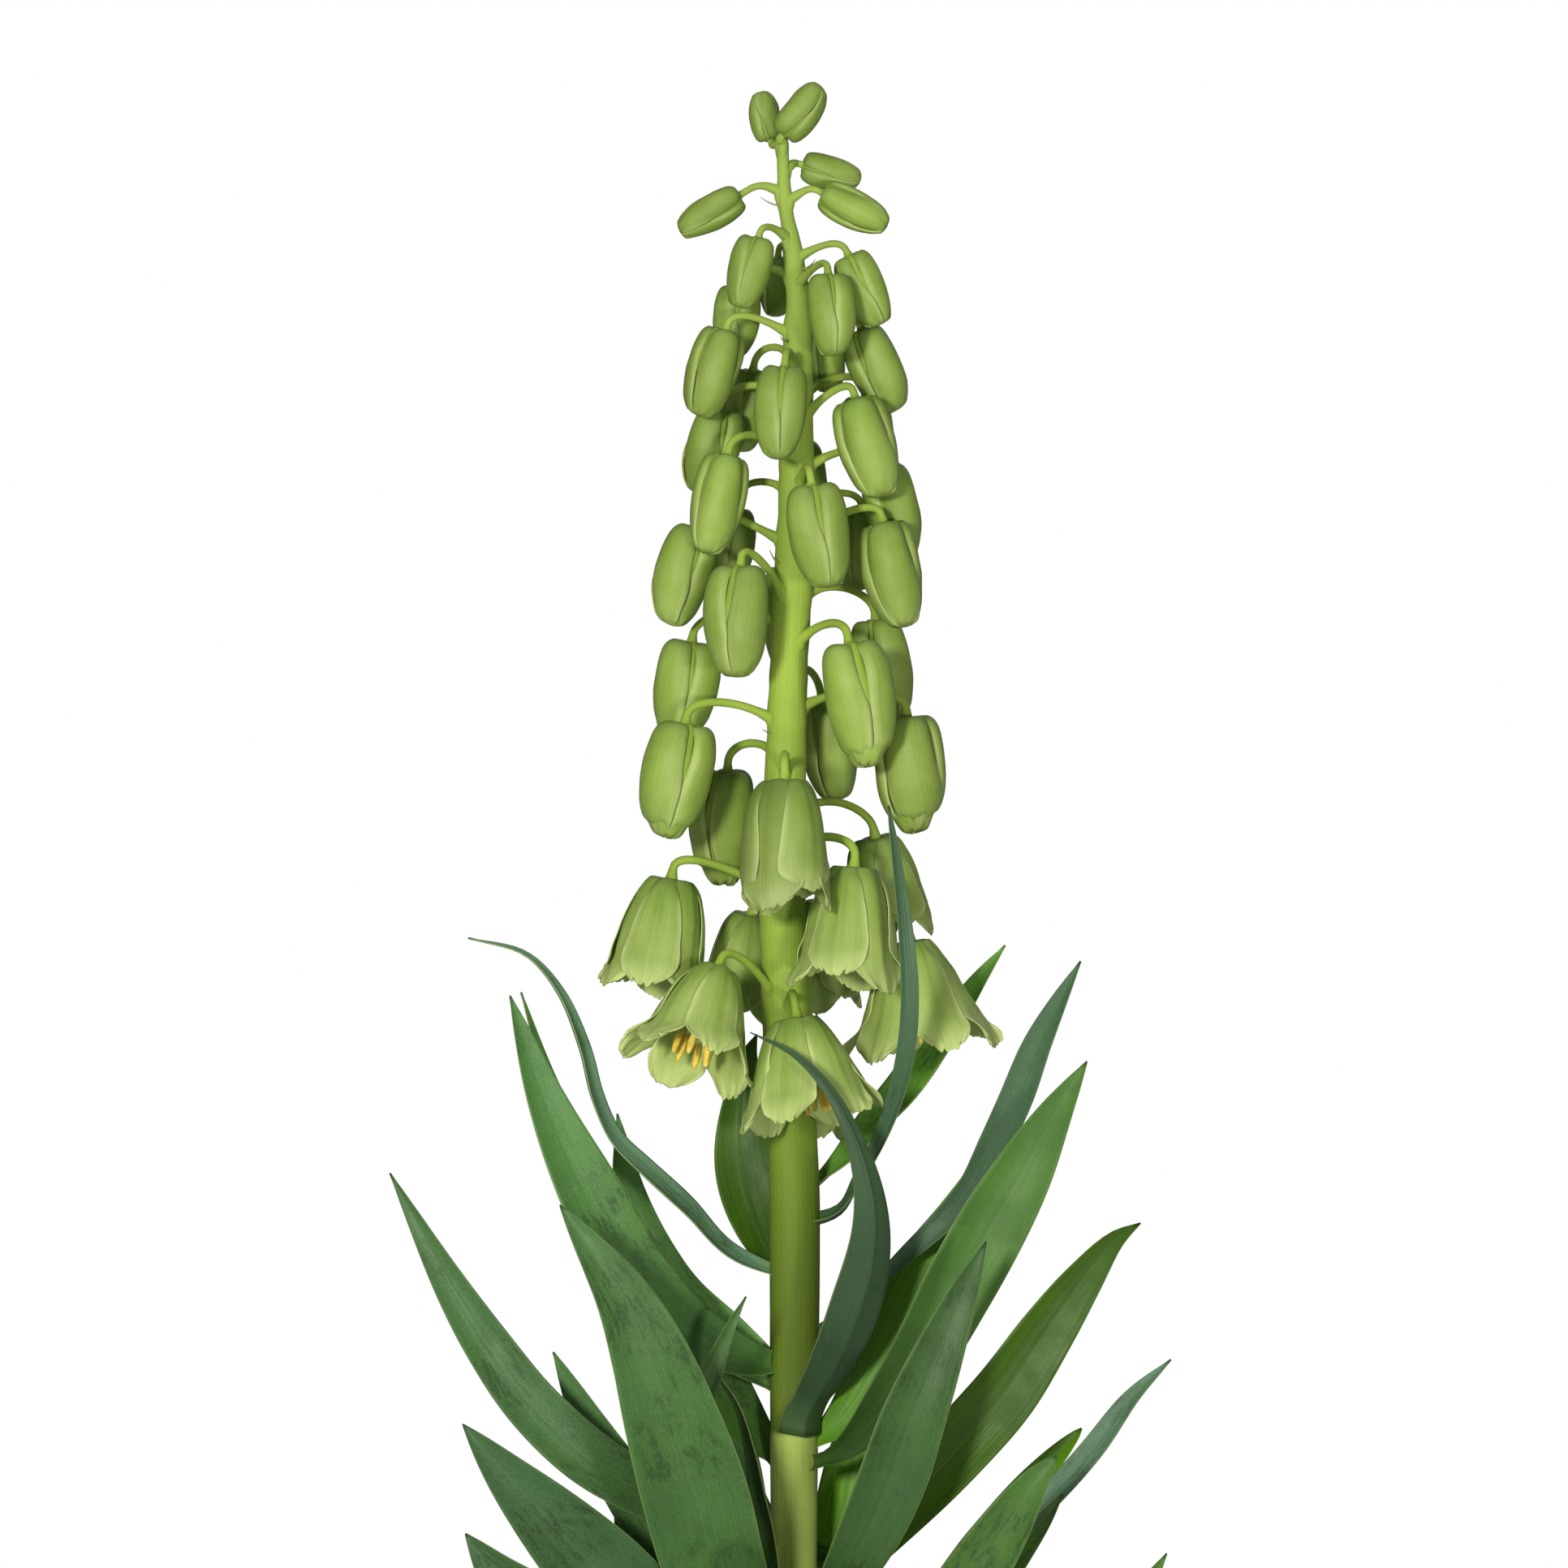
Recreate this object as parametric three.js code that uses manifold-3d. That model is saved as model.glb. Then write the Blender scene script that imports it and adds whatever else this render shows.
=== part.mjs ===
// A potted persian lily in flower. One leafy stem grows from a bulb in a clay pot of soil and
// carries a tall spike of nodding, ivory-green bells. The lowest bells are open and the top is in bud.
// Millimetres, +Z up. The origin is the middle of the pot's flat underside, and -Y is the front.
import * as THREE from "three";
import { mergeVertices } from "three/addons/utils/BufferGeometryUtils.js";
import Module from "manifold-3d";

const wasm = await Module();
wasm.setup();

// Colours and finishes
const finish = (color, roughness) => new THREE.MeshStandardMaterial({ color, roughness, metalness: 0 });
const stemGreen = finish(0x6f9443, 0.45);
const budGreen = finish(0x93b45c, 0.5);
const ivoryGreen = finish(0xb7cd86, 0.5);
const pollenYellow = finish(0xe0ac2c, 0.7);
const bulbCream = finish(0xd9c79a, 0.75);
const clay = finish(0xb96a42, 0.85);
const peat = finish(0x3a2a1e, 0.95);

// Pot, soil and bulb
const pot = { height: 120, footRadius: 46, neckRadius: 59, rimRadius: 66, rimHeight: 25, wall: 6, floor: 8, edge: 1.5 };
const drain = { holes: 4, radius: 4.5, circle: 26, sides: 10 };
const potSides = 22;
const fitGap = 0.3; // clearance between pieces that touch
const soil = { top: 108, edge: 1.5, crown: 3, stemHole: 5.4, bulbRoom: 0.5 };
const bulb = { bottom: 30, height: 44, radius: 21 };

// The stem's middle line leans a little: height, sideways offset and radius
const stemSides = 8;
const stemLine = [
  [bulb.bottom + bulb.height + fitGap, 0, 4.6],
  [150, 0, 4.9],
  [195, 0, 4.4],
  [228, 0.1, 4.6],
  [262, 0.2, 4.8],
  [277, -0.2, 4.6],
  [301, -1.6, 4.4],
  [323, -2.2, 4.2],
  [349, -1.5, 3.7],
  [369, -0.8, 3.5],
  [385, 0, 3.5],
  [400, 0.6, 3.2],
  [415, 0.5, 2.9],
  [424, 0.8, 2.7],
  [434, 0.8, 2.2],
  [446, -0.4, 1.5],
  [455, -1.8, 1.2],
  [461, -2, 1],
  [466, -2.3, 0.9],
];

// One row for each flower, from the lowest up. All but the angles are in mm.
// at: height of the joint on the stem. x, near, neck: where the bell hangs from its stalk, as
// sideways place, distance in front of the stem's line and height. long, wide: the bell's size.
// open: 0 a shut bud to 1 a flared bell. side, front: the bell's swing from straight down, to the
// right and to the front. turn: the angle of one outer petal round the bell, from the front.
const flowerRows = [
  // at, x, near, neck, long, wide, open, side, front, turn
  [301.5, 0.6, 17.5, 299.5, 20.5, 18, 1, 9, 6, 30],
  [294, 2, -21, 293.5, 18, 14, 0.5, 0, -10, 20],
  [304.5, -14.4, 14, 308.5, 21, 17.5, 1, -17, 22, 5],
  [315.3, 22, -2, 313.8, 21.5, 18, 1, 8, -2, 30],
  [322.3, -8, -15.5, 318.7, 20.5, 14, 0.5, -9, -8, 0],
  [324.5, 5, -20, 321.2, 21, 13.5, 0.5, 3, -8, 40],
  [324.2, -23.2, 2, 325.5, 22, 17, 0.58, -10, 2, -10],
  [331.5, 11.4, 13, 327.8, 23, 17.5, 0.65, -4, 2, -15],
  [338.4, 15.6, -13, 333.2, 20, 14.5, 0.35, 12, -8, 20],
  [342.2, -0.5, -20, 340.7, 18.5, 12.3, 0.2, 0, -8, 30],
  [345.8, -1.7, 22.8, 344, 24.3, 16.5, 0.4, 1, 5, 35],
  [349.5, -12.6, -13, 345.6, 21, 13, 0.2, -2, -6, 25],
  [358.4, 21.4, 1, 355.8, 21.2, 13.8, 0.15, 4, 0, 0],
  [364, 5.4, -15, 359, 18.5, 11, 0, 8, -5, 30],
  [356, -20.6, 7, 354.4, 21, 14, 0.1, -10, 3, 80],
  [374.5, -19.4, -6, 370.2, 18.6, 12.6, 0, -9, 0, 70],
  [371, 10.5, 13, 369.5, 22.7, 13.8, 0.12, 9, 5, 75],
  [379.5, 15.7, -8, 374.5, 18.8, 11.4, 0, 10, -3, 35],
  [386, -1.5, -17, 384.5, 19, 9, 0, 0, -4, 60],
  [379.5, -10, 14, 384, 20.2, 12.6, 0, -2, 6, 40],
  [399.3, -11.5, -11, 395.8, 15, 9.4, 0, -6, -6, 60],
  [390, -18.6, 1.5, 391.8, 18.7, 11.4, 0, -15, 0, 85],
  [396.5, 12.8, -11, 394.8, 14.5, 9.2, 0, -3, -8, 30],
  [391.5, 17, 8, 392.4, 19.3, 11.7, 0, 11, 3, 0],
  [404.2, 17.5, -2, 403.6, 17.8, 10.8, 0, 11, -2, 30],
  [400.7, 3.5, 15.5, 399.3, 19, 12, 0, 9, 6, 70],
  [410.7, 1.5, -15, 408.4, 16, 9.5, 0, 2, -5, 30],
  [407.3, -12.6, 8.5, 405.2, 18.5, 10.6, 0, -12, 5, 5],
  [417.5, -13.8, -4.5, 414.4, 16.3, 10.8, 0, -14, 0, 85],
  [418, 13.8, -11.5, 417, 17.5, 10.8, 0, 5, -3, 20],
  [414, 11.8, 7.5, 415.9, 18.5, 11.6, 0, 15, 4, 0],
  [422.7, -1.8, 13.5, 421.8, 17, 10.2, 0, -5, 6, 55],
  [425, -7.8, -11.5, 421.9, 15, 9, 0, -9, -8, 50],
  [430, 5.5, -11.5, 430.4, 12.5, 8, 0, 5, -10, 30],
  [430.4, 13, -2.2, 429.5, 16.5, 10.4, 0, 22, -2, 25],
  [429.2, -13, 4.5, 429, 16.3, 10.4, 0, -18, 3, 10],
  [440.2, -10.4, -6.5, 437.8, 13, 9.2, 0, -5, -5, 60],
  [438.7, 6.5, 11, 439.3, 15, 9.4, 0, 4, 8, 70],
  [443.6, 10.5, 4.4, 443.3, 14, 8.8, 0, 25, -4, 65],
  [444.5, -3, -9.5, 443.3, 11, 7, 0, -3, -12, 20],
  [447.3, -6.8, 7.5, 446.4, 13.2, 8.5, 0, -15, 8, 40],
  [456, -10.6, 1, 455, 12.9, 7.2, 0, -59, 2, 95],
  [454.4, 5.8, 3.5, 455.3, 13.2, 7.7, 0, 63, 3, 0],
  [460.4, 2, -3, 461, 11, 6.8, 0, 76, -6, 50],
  [464.6, -4.4, -3, 466, 9.2, 6.3, 0, -168, -8, 80],
  [465, -1.9, 2.4, 466.8, 11.3, 7.4, 0, 142, 6, 40],
];

// One entry for each leaf: points from the stem to the tip as [x, near, z], the greatest width,
// where along the leaf it is, the width at the foot, and the way the upper face looks at the
// foot and at the tip, in degrees from the front to the right.
const leafRows = [
  // the leaves round the foot of the spike
  { line: [[0, 0, 234], [-6, 4, 234.5], [-14.5, 12, 238], [-23, 18, 244], [-32, 23, 255.5], [-40.5, 25, 271], [-47, 25, 285.5], [-53.4, 23, 303.8]], wide: 14, peak: 0.42, foot: 3, face: [30, 10] },
  { line: [[-1, 2, 173], [-7, 13, 182], [-14.3, 27, 195], [-18.6, 37, 210.7], [-23, 43, 225], [-27, 46, 237], [-32, 47, 248], [-43.7, 45, 265]], wide: 20, peak: 0.45, foot: 6, face: [-8, -4] },
  { line: [[-1, 1, 200], [-16, 9, 205], [-30, 18, 211.5], [-39.5, 21, 217.5], [-49.5, 21, 227], [-57, 20, 237], [-65, 17, 249.5], [-76.2, 14, 270.2]], wide: 11, peak: 0.42, foot: 5, face: [0, -25] },
  { line: [[0, 0, 250], [-12, 4, 255.5], [-19.7, 7, 263.8], [-27.5, 9, 271], [-33.5, 10, 277], [-37, 11, 284.5], [-39.5, 12, 294], [-44, 12, 304.5], [-50.5, 12, 311.5], [-61.5, 11, 314.5]], wide: 5.4, peak: 0.36, foot: 3, face: [55, 66] },
  { line: [[0, 0, 228], [-12, 1, 235], [-23, 5, 246], [-32, 9, 259], [-40, 12, 274], [-46, 13, 288], [-51.5, 12, 304.3]], wide: 8, peak: 0.4, foot: 4, face: [10, 60] },
  { line: [[0, -1, 231], [-12, -3, 239], [-21, -4, 246], [-26.5, -5, 254], [-31, -5, 265], [-33.5, -6, 281]], wide: 9.5, peak: 0.45, foot: 4, face: [-10, 15] },
  { line: [[0, -2, 172], [-12, 1, 185], [-25, 4, 201], [-33, 6, 213], [-39, 7, 223], [-45.5, 7, 236.2]], wide: 11, peak: 0.5, foot: 5, face: [-5, -30] },
  { line: [[-1, 1, 167], [-14, 14, 174], [-27, 26, 186], [-37, 32, 196.5], [-46, 36, 206], [-54, 38, 214.5], [-62, 38, 223.8]], wide: 17.5, peak: 0.52, foot: 6, face: [0, -18] },
  { line: [[-1, 0, 160], [-16, 9, 166], [-33, 18, 176], [-46, 24, 186], [-55, 27, 194.5], [-61.7, 27, 202.8]], wide: 15, peak: 0.6, foot: 6, face: [-10, -35] },
  { line: [[-1, 2, 186], [-9, 14, 198], [-15, 22, 212], [-17.5, 27, 226], [-14, 28, 236.5], [-11, 28, 243.5], [-9, 27, 247.3]], wide: 6, peak: 0.4, foot: 4, face: [-20, 62] },
  { line: [[-1, -2, 249], [-6, -8, 260], [-9.5, -11, 273], [-9.5, -12, 284], [-8.5, -12, 292], [-7, -12, 296]], wide: 12, peak: 0.42, foot: 6, face: [0, 0] },
  { line: [[0, 2, 220.5], [2, 6, 223], [7.5, 14, 231], [12, 22, 242], [14, 28, 254], [14.5, 32, 262], [13.5, 34.5, 270], [10.5, 36, 279], [6, 36, 287], [0, 34.5, 293], [-8.2, 31, 297]], wide: 9.6, peak: 0.4, foot: 6.5, face: [0, 25] },
  { line: [[1, 0, 261], [8, 5, 263], [12, 12, 269], [15.5, 18, 275.5], [18.5, 22, 283], [21, 26, 293], [21.8, 28, 304], [21, 29, 316], [19.5, 27.5, 328], [17.8, 24.5, 339.5]], wide: 6, peak: 0.38, foot: 4, face: [40, 55] },
  { line: [[1, -1, 266], [8, -7, 271.5], [14.5, -13, 279], [20.5, -17, 285.5], [26, -20, 293], [31, -22, 300], [35.5, -23, 306.5], [40.4, -23, 312.8]], wide: 7.6, peak: 0.5, foot: 3, face: [-35, -15] },
  { line: [[0, 0, 240], [10, 4, 245], [20, 8, 253.5], [27, 10, 260], [33.5, 9, 267], [38, 7, 275.5], [42, 5, 284], [46, 3, 294], [50, 1, 302], [54.4, -1, 310]], wide: 6.6, peak: 0.66, foot: 3, face: [25, -20] },
  { line: [[0, 1, 214], [9, 7, 217.5], [17, 13, 226], [24.5, 17, 236.5], [31, 19, 248.5], [37, 20, 259.5], [43, 19, 270], [49, 17, 281], [55.3, 15, 291.3]], wide: 14, peak: 0.55, foot: 3.2, face: [35, 0] },
  { line: [[0, 0, 217], [9, 3, 223.5], [15.5, 5, 233.5], [20.5, 5, 244], [25, 4, 253], [30, 2, 262], [34.5, 0, 272]], wide: 11.5, peak: 0.5, foot: 4, face: [10, -5] },
  { line: [[0, 2, 178], [5, 16, 186.5], [10, 27, 195], [15.5, 33, 206], [19, 36, 215], [22, 38, 224], [25.5, 39, 233], [30, 38, 244], [36, 36, 257.9]], wide: 12.8, peak: 0.55, foot: 5, face: [20, 8] },
  { line: [[0, 1, 183], [10, 9, 194], [20, 14, 206], [30, 17, 217.5], [40, 19, 229], [48, 19, 240], [55, 18, 250], [60.5, 16, 257.5], [65.4, 13, 260.7]], wide: 14, peak: 0.55, foot: 4, face: [15, 20] },
  { line: [[0, -1, 170], [16, -1, 181], [30, 0, 192], [39.5, 1, 203], [48, 2, 209.5], [57, 2, 219], [64, 1, 228], [71.5, 0, 234.5]], wide: 6.6, peak: 0.62, foot: 4, face: [10, -30] },
  { line: [[0, -2, 166], [15, -5, 176], [28, -7, 186], [38, -9, 198], [45, -10, 208], [50, -11, 215], [54.6, -12, 220.5]], wide: 10, peak: 0.55, foot: 4, face: [5, -10] },
  { line: [[0, 1, 162], [12.5, 11, 171], [24, 19, 182], [33, 24, 193.5], [41, 27, 206], [45.5, 28, 212.5], [49.4, 28, 216.8]], wide: 12.6, peak: 0.55, foot: 5, face: [10, 5] },
  { line: [[0, 0, 154], [18, 7, 163], [35, 12, 173], [50, 14, 184], [60, 14, 192], [70.3, 13, 198]], wide: 12, peak: 0.55, foot: 5, face: [0, 20] },
  { line: [[0, -3, 176], [6, -8, 190], [9.5, -11, 204], [12, -12, 216], [15, -13, 227], [19, -15, 238]], wide: 12, peak: 0.5, foot: 5, face: [0, 0] },
  { line: [[-1, -1, 214], [-8, -4, 221], [-14, -6, 229.5], [-19.5, -8, 238], [-24, -10, 247]], wide: 11, peak: 0.5, foot: 5, face: [5, 0] },
  { line: [[-1, 3, 178], [-4.5, 12, 193], [-6.5, 16, 207], [-8, 19, 217], [-10.5, 21, 226], [-14.2, 22, 232.3]], wide: 7.6, peak: 0.36, foot: 5, face: [-48, -62] },
  { line: [[-1, -2, 164], [-17, -5, 182], [-26, -7, 196], [-30, -8, 208], [-31, -9, 219]], wide: 15, peak: 0.5, foot: 5, face: [0, 0] },
  // leaves at the back
  { line: [[-1, -1, 190], [-6, -14, 197], [-13, -29, 208], [-18, -42, 220], [-21, -52, 233], [-22, -58, 243]], wide: 14, peak: 0.45, foot: 5, face: [-12, -6] },
  { line: [[1, -1, 195], [8, -15, 202], [15, -31, 213], [21, -44, 226], [26, -54, 241], [29, -60, 255]], wide: 14, peak: 0.45, foot: 5, face: [15, 10] },
  { line: [[0, -2, 158], [-5, -19, 166], [-9, -36, 176], [-13, -51, 190], [-15, -62, 207]], wide: 15, peak: 0.45, foot: 6, face: [-8, -5] },
  // leaves low on the stem
  { line: [[0, 2, 142], [3, 17, 146], [6, 35, 154], [8, 52, 165], [9, 66, 180]], wide: 15, peak: 0.45, foot: 6, face: [5, 2] },
  { line: [[-1, 1, 150], [-11, 15, 156], [-22, 30, 165], [-31, 43, 177], [-36, 52, 189]], wide: 14, peak: 0.45, foot: 6, face: [-20, -25] },
  { line: [[1, 1, 133], [15, 13, 139], [31, 24, 148], [45, 33, 160], [55, 39, 174]], wide: 14, peak: 0.45, foot: 6, face: [35, 40] },
  { line: [[1, -1, 138], [14, -15, 144], [28, -29, 153], [40, -41, 166], [48, -49, 181]], wide: 14, peak: 0.45, foot: 6, face: [-30, -40] },
  { line: [[-1, -1, 146], [-15, -13, 151], [-31, -25, 160], [-45, -35, 172], [-54, -42, 187]], wide: 14, peak: 0.45, foot: 6, face: [40, 50] },
  { line: [[-1, 0, 129], [-18, 3, 134], [-36, 6, 142], [-52, 8, 153], [-63, 9, 168]], wide: 13, peak: 0.45, foot: 6, face: [-20, -40] },
];

const point = (x, y, z) => new THREE.Vector3(x, y, z);
const radians = THREE.MathUtils.degToRad;
const mix = THREE.MathUtils.lerp;
const up = point(0, 0, 1);
const front = point(0, -1, 0);
const between = (pairs, t) => {
  // a value at t on a line through [t, value] pairs
  const next = pairs.findIndex((pair) => pair[0] >= t);
  if (next === -1) return pairs[pairs.length - 1][1];
  if (next === 0) return pairs[0][1];
  const [t0, v0] = pairs[next - 1];
  const [t1, v1] = pairs[next];
  return mix(v0, v1, (t - t0) / (t1 - t0));
};

// Solids from rings of points

function solidFrom(points, triangles) {
  const build = (order) =>
    new wasm.Manifold(
      new wasm.Mesh({
        numProp: 3,
        vertProperties: new Float32Array(points.flatMap((p) => [p.x, p.y, p.z])),
        triVerts: new Uint32Array(order.flat()),
      }),
    );
  const made = build(triangles);
  return made.volume() > 0 ? made : build(triangles.map(([a, b, c]) => [a, c, b]));
}

// Joins rings of equal length. From the column mirrorFrom on, the quads are cut along their other
// diagonal, so that both faces of a blade are cut alike. capQuads lists how each end is closed.
function skin(rings, { mirrorFrom = Infinity, capQuads = null } = {}) {
  const n = rings[0].length;
  const triangles = [];
  for (let i = 0; i + 1 < rings.length; i++)
    for (let k = 0; k < n; k++) {
      const a = i * n + k;
      const b = i * n + ((k + 1) % n);
      if (k < mirrorFrom) triangles.push([a, b, b + n], [a, b + n, a + n]);
      else triangles.push([a, b, a + n], [b, b + n, a + n]);
    }
  const last = (rings.length - 1) * n;
  const faces = capQuads ?? [Array.from({ length: n }, (_, k) => k)];
  for (const face of faces)
    for (let k = 1; k + 1 < face.length; k++) {
      triangles.push([face[0], face[k + 1], face[k]]);
      triangles.push([last + face[0], last + face[k], last + face[k + 1]]);
    }
  return solidFrom(rings.flat(), triangles);
}

// Round rings along a path, square to it, with a radius at each point.
function ringsAlong(path, radii, sides) {
  return path.map((here, i) => {
    const before = path[Math.max(i - 1, 0)];
    const after = path[Math.min(i + 1, path.length - 1)];
    const along = after.clone().sub(before).normalize();
    const hint = Math.abs(along.z) > 0.9 ? point(1, 0, 0) : up;
    const across = hint.clone().cross(along).normalize();
    const over = along.clone().cross(across);
    return Array.from({ length: sides }, (_, k) => {
      const turn = (2 * Math.PI * (k + 0.5)) / sides;
      return here
        .clone()
        .addScaledVector(across, radii[i] * Math.cos(turn))
        .addScaledVector(over, radii[i] * Math.sin(turn));
    });
  });
}

const lathe = (profile, sides) => {
  const made = new THREE.LatheGeometry(profile.map(([r, z]) => new THREE.Vector2(r, z)), sides);
  made.rotateX(Math.PI / 2);
  made.deleteAttribute("normal");
  made.deleteAttribute("uv");
  const merged = mergeVertices(made, 1e-4);
  const place = merged.attributes.position;
  const points = Array.from({ length: place.count }, (_, i) => point(0, 0, 0).fromBufferAttribute(place, i));
  const index = Array.from(merged.index.array);
  const triangles = [];
  for (let i = 0; i < index.length; i += 3) {
    const [a, b, c] = index.slice(i, i + 3);
    if (a !== b && b !== c && c !== a) triangles.push([a, b, c]);
  }
  return solidFrom(points, triangles);
};

const joined = (solids) => solids.reduce((whole, next) => whole.add(next));

function meshOf(name, solid, material) {
  const { numProp, numVert, vertProperties, triVerts } = solid.getMesh();
  const place = new Float32Array(numVert * 3);
  for (let i = 0; i < numVert; i++)
    place.set(vertProperties.subarray(i * numProp, i * numProp + 3), i * 3);
  const geometry = new THREE.BufferGeometry();
  geometry.setAttribute("position", new THREE.BufferAttribute(place, 3));
  geometry.setIndex(new THREE.BufferAttribute(triVerts, 1));
  geometry.computeVertexNormals();
  const mesh = new THREE.Mesh(geometry, material);
  mesh.name = name;
  return mesh;
}

// The stem

const stemCentre = (z) => point(between(stemLine.map(([h, x]) => [h, x]), z), 0, z);

function makeStem() {
  const path = stemLine.map(([z, x]) => point(x, 0, z));
  return skin(ringsAlong(path, stemLine.map((row) => row[2]), stemSides));
}

// A flower's place: its neck, the way the bell points, and the directions to its front and right

function flowerFrame([at, x, near, neck, long, wide, open, side, forward, turn]) {
  const axis = point(
    Math.sin(radians(side)) * Math.cos(radians(forward)),
    -Math.sin(radians(forward)),
    -Math.cos(radians(side)) * Math.cos(radians(forward)),
  );
  const ahead = front.clone().addScaledVector(axis, -front.dot(axis)).normalize();
  const right = ahead.clone().cross(axis).normalize();
  return { at, root: stemCentre(at), neck: point(x, -near, neck), axis, ahead, right, long, wide, open, turn: radians(turn) };
}

// A stalk arches from the stem over the neck of its bell, and drops straight into it
const stalkSides = 4;
const stalkSteps = 3;
const stalkDrop = 0.1; // the straight part, as a share of the bell's length
const stalkFoot = 1.7; // the swelling at the stem
const stalkRadius = (long) => 0.5 + 0.021 * long;

function makeStalk({ root, neck, axis, long }) {
  const end = neck.clone().addScaledVector(axis, -fitGap);
  const above = neck.clone().addScaledVector(axis, -stalkDrop * long);
  const outward = end.clone().sub(root).setZ(0);
  const reach = outward.length();
  outward.normalize();
  const lead = Math.min(0.22 * reach, 3.5);
  const arch = new THREE.CubicBezierCurve3(
    root.clone().addScaledVector(outward, 0.3),
    root.clone().addScaledVector(outward, 0.5 * reach).setZ(Math.max(root.z + 0.2 * reach, above.z)),
    above.clone().addScaledVector(axis, -lead),
    above,
  );
  const path = [...arch.getPoints(stalkSteps), end];
  return skin(ringsAlong(path, path.map((_, i) => stalkRadius(long) * (i === 0 ? stalkFoot : 1)), stalkSides));
}

// Bells. u runs from the neck, 0, to the tip, 1: the radius as a share of half the width, and the
// depth below the neck as a share of the length, for a shut bud and for a fully open bell.
const shutRadius = [[0, 0.24], [0.09, 0.68], [0.25, 0.97], [0.5, 1.05], [0.75, 0.99], [0.9, 0.76], [1, 0.34]];
const openRadius = [[0, 0.22], [0.09, 0.55], [0.25, 0.8], [0.5, 1], [0.75, 1.14], [0.9, 1.3], [1, 1.48]];
const bellDepth = [[0, 0], [0.09, -0.05], [0.25, 0.13], [0.5, 0.41], [0.75, 0.7], [0.9, 0.87], [1, 0.97]];
const openness = (open) => open ** 0.6;
const bellRadius = (flower, u) =>
  (flower.wide / 2) * mix(between(shutRadius, u), between(openRadius, u), openness(flower.open));

const bellPoint = (flower, angle, radius, depth) =>
  flower.neck
    .clone()
    .addScaledVector(flower.axis, depth)
    .addScaledVector(flower.ahead, radius * Math.cos(angle + flower.turn))
    .addScaledVector(flower.right, radius * Math.sin(angle + flower.turn));

// A shut bud: three outer petals as pillows, with the inner ones sunk in the slits between them
const slitDepth = 0.75;
const budAngles = [-47, 0, 47, 60]; // across one petal, then the slit beside it
const budStations = [0, 0.09, 0.26, 0.6, 0.86, 1];
const slitShare = [[0, 0], [0.09, 0.9], [0.26, 1], [0.6, 0.7], [0.86, 0.35], [1, 0]];

function makeBud(flower) {
  const rings = budStations.map((u) => {
    const radius = bellRadius(flower, u);
    const sunk = slitDepth * between(slitShare, u);
    return [0, 120, 240].flatMap((petal) =>
      budAngles.map((across) => {
        const edge = across === 60 ? radius - sunk : radius;
        return bellPoint(flower, radians(petal + across), edge, flower.long * between(bellDepth, u));
      }),
    );
  });
  return skin(rings);
}

// An open bell: two whorls of three petals, thickest along the middle, sunk in a small hub
const petalStations = [0.03, 0.25, 0.55, 0.8, 1];
const petalWidth = [[0.03, 0.3], [0.25, 0.8], [0.55, 1], [0.8, 1], [1, 0.42]];
const petalThick = 0.9;
const whorlStep = 1.1; // the inner petals stand this much further in

function makePetal(flower, middle, inset) {
  const halfWidth = (flower.wide / 2) * mix(0.95, 0.74, flower.open);
  const rings = petalStations.map((u) => {
    const radius = Math.max(bellRadius(flower, u) - inset * Math.min(1, u * 5), 0.8);
    const reach = Math.min((halfWidth * between(petalWidth, u)) / radius, radians(56));
    const depth = flower.long * between(bellDepth, u);
    return [
      bellPoint(flower, middle - reach, radius, depth),
      bellPoint(flower, middle, radius + petalThick / 2, depth),
      bellPoint(flower, middle + reach, radius, depth),
      bellPoint(flower, middle, radius - petalThick / 2, depth),
    ];
  });
  return skin(rings, { mirrorFrom: 2, capQuads: [[0, 1, 3], [1, 2, 3]] });
}

// The hub that the petals grow from: radius as a share of half the width, and depth of the length
const hubShape = [[0.3, 0], [0.62, 0.055], [0.2, 0.16]];
const hubSides = 6;

function makeBell(flower) {
  const half = flower.wide / 2;
  const hub = skin(
    hubShape.map(([radius, depth]) =>
      Array.from({ length: hubSides }, (_, k) =>
        bellPoint(flower, (2 * Math.PI * k) / hubSides, half * radius, flower.long * depth),
      ),
    ),
  );
  const petals = [0, 60, 120, 180, 240, 300].map((middle) =>
    makePetal(flower, radians(middle), middle % 120 ? whorlStep : 0),
  );
  return joined([hub, ...petals]);
}

// Six stamens with long anthers round a slim pistil, in an open bell
const stamen = { from: 0.9, spread: 2.6, antherFrom: 0.6, antherTo: 0.87, thread: 0.35, anther: 0.85, sides: 3 };
const pistil = { foot: 1.5, thin: 0.5, tip: 0.6, sides: 5 };

function makeStamens(flower) {
  const start = flower.long * hubShape[2][1] + fitGap;
  const down = (share) => mix(start, flower.long * 0.98, share);
  const stations = [0.05, stamen.antherFrom, stamen.antherFrom + 0.08, stamen.antherTo];
  const radii = [stamen.thread, stamen.thread, stamen.anther, 0.5];
  const threads = Array.from({ length: 6 }, (_, k) => {
    const angle = (Math.PI * (k + 0.5)) / 3;
    const path = stations.map((share) => {
      const spread = mix(stamen.from, stamen.spread, Math.min(1, share / stamen.antherFrom));
      return bellPoint(flower, angle, spread, down(share));
    });
    return skin(ringsAlong(path, radii, stamen.sides));
  });
  const middle = [0, 0.14, 0.3, 1].map((share) => bellPoint(flower, 0, 0, down(share)));
  const core = skin(ringsAlong(middle, [pistil.foot, pistil.foot, pistil.thin, pistil.tip], pistil.sides));
  return joined([core, ...threads]);
}

// Leaves: a keeled blade along a smooth line, with a real edge and a thicker midrib
const leafSteps = 6;
const edgeThick = 0.6;
const ribThick = 1.1;
const keel = 0.16; // how far the midrib lies behind the edges, as a share of the width

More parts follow.
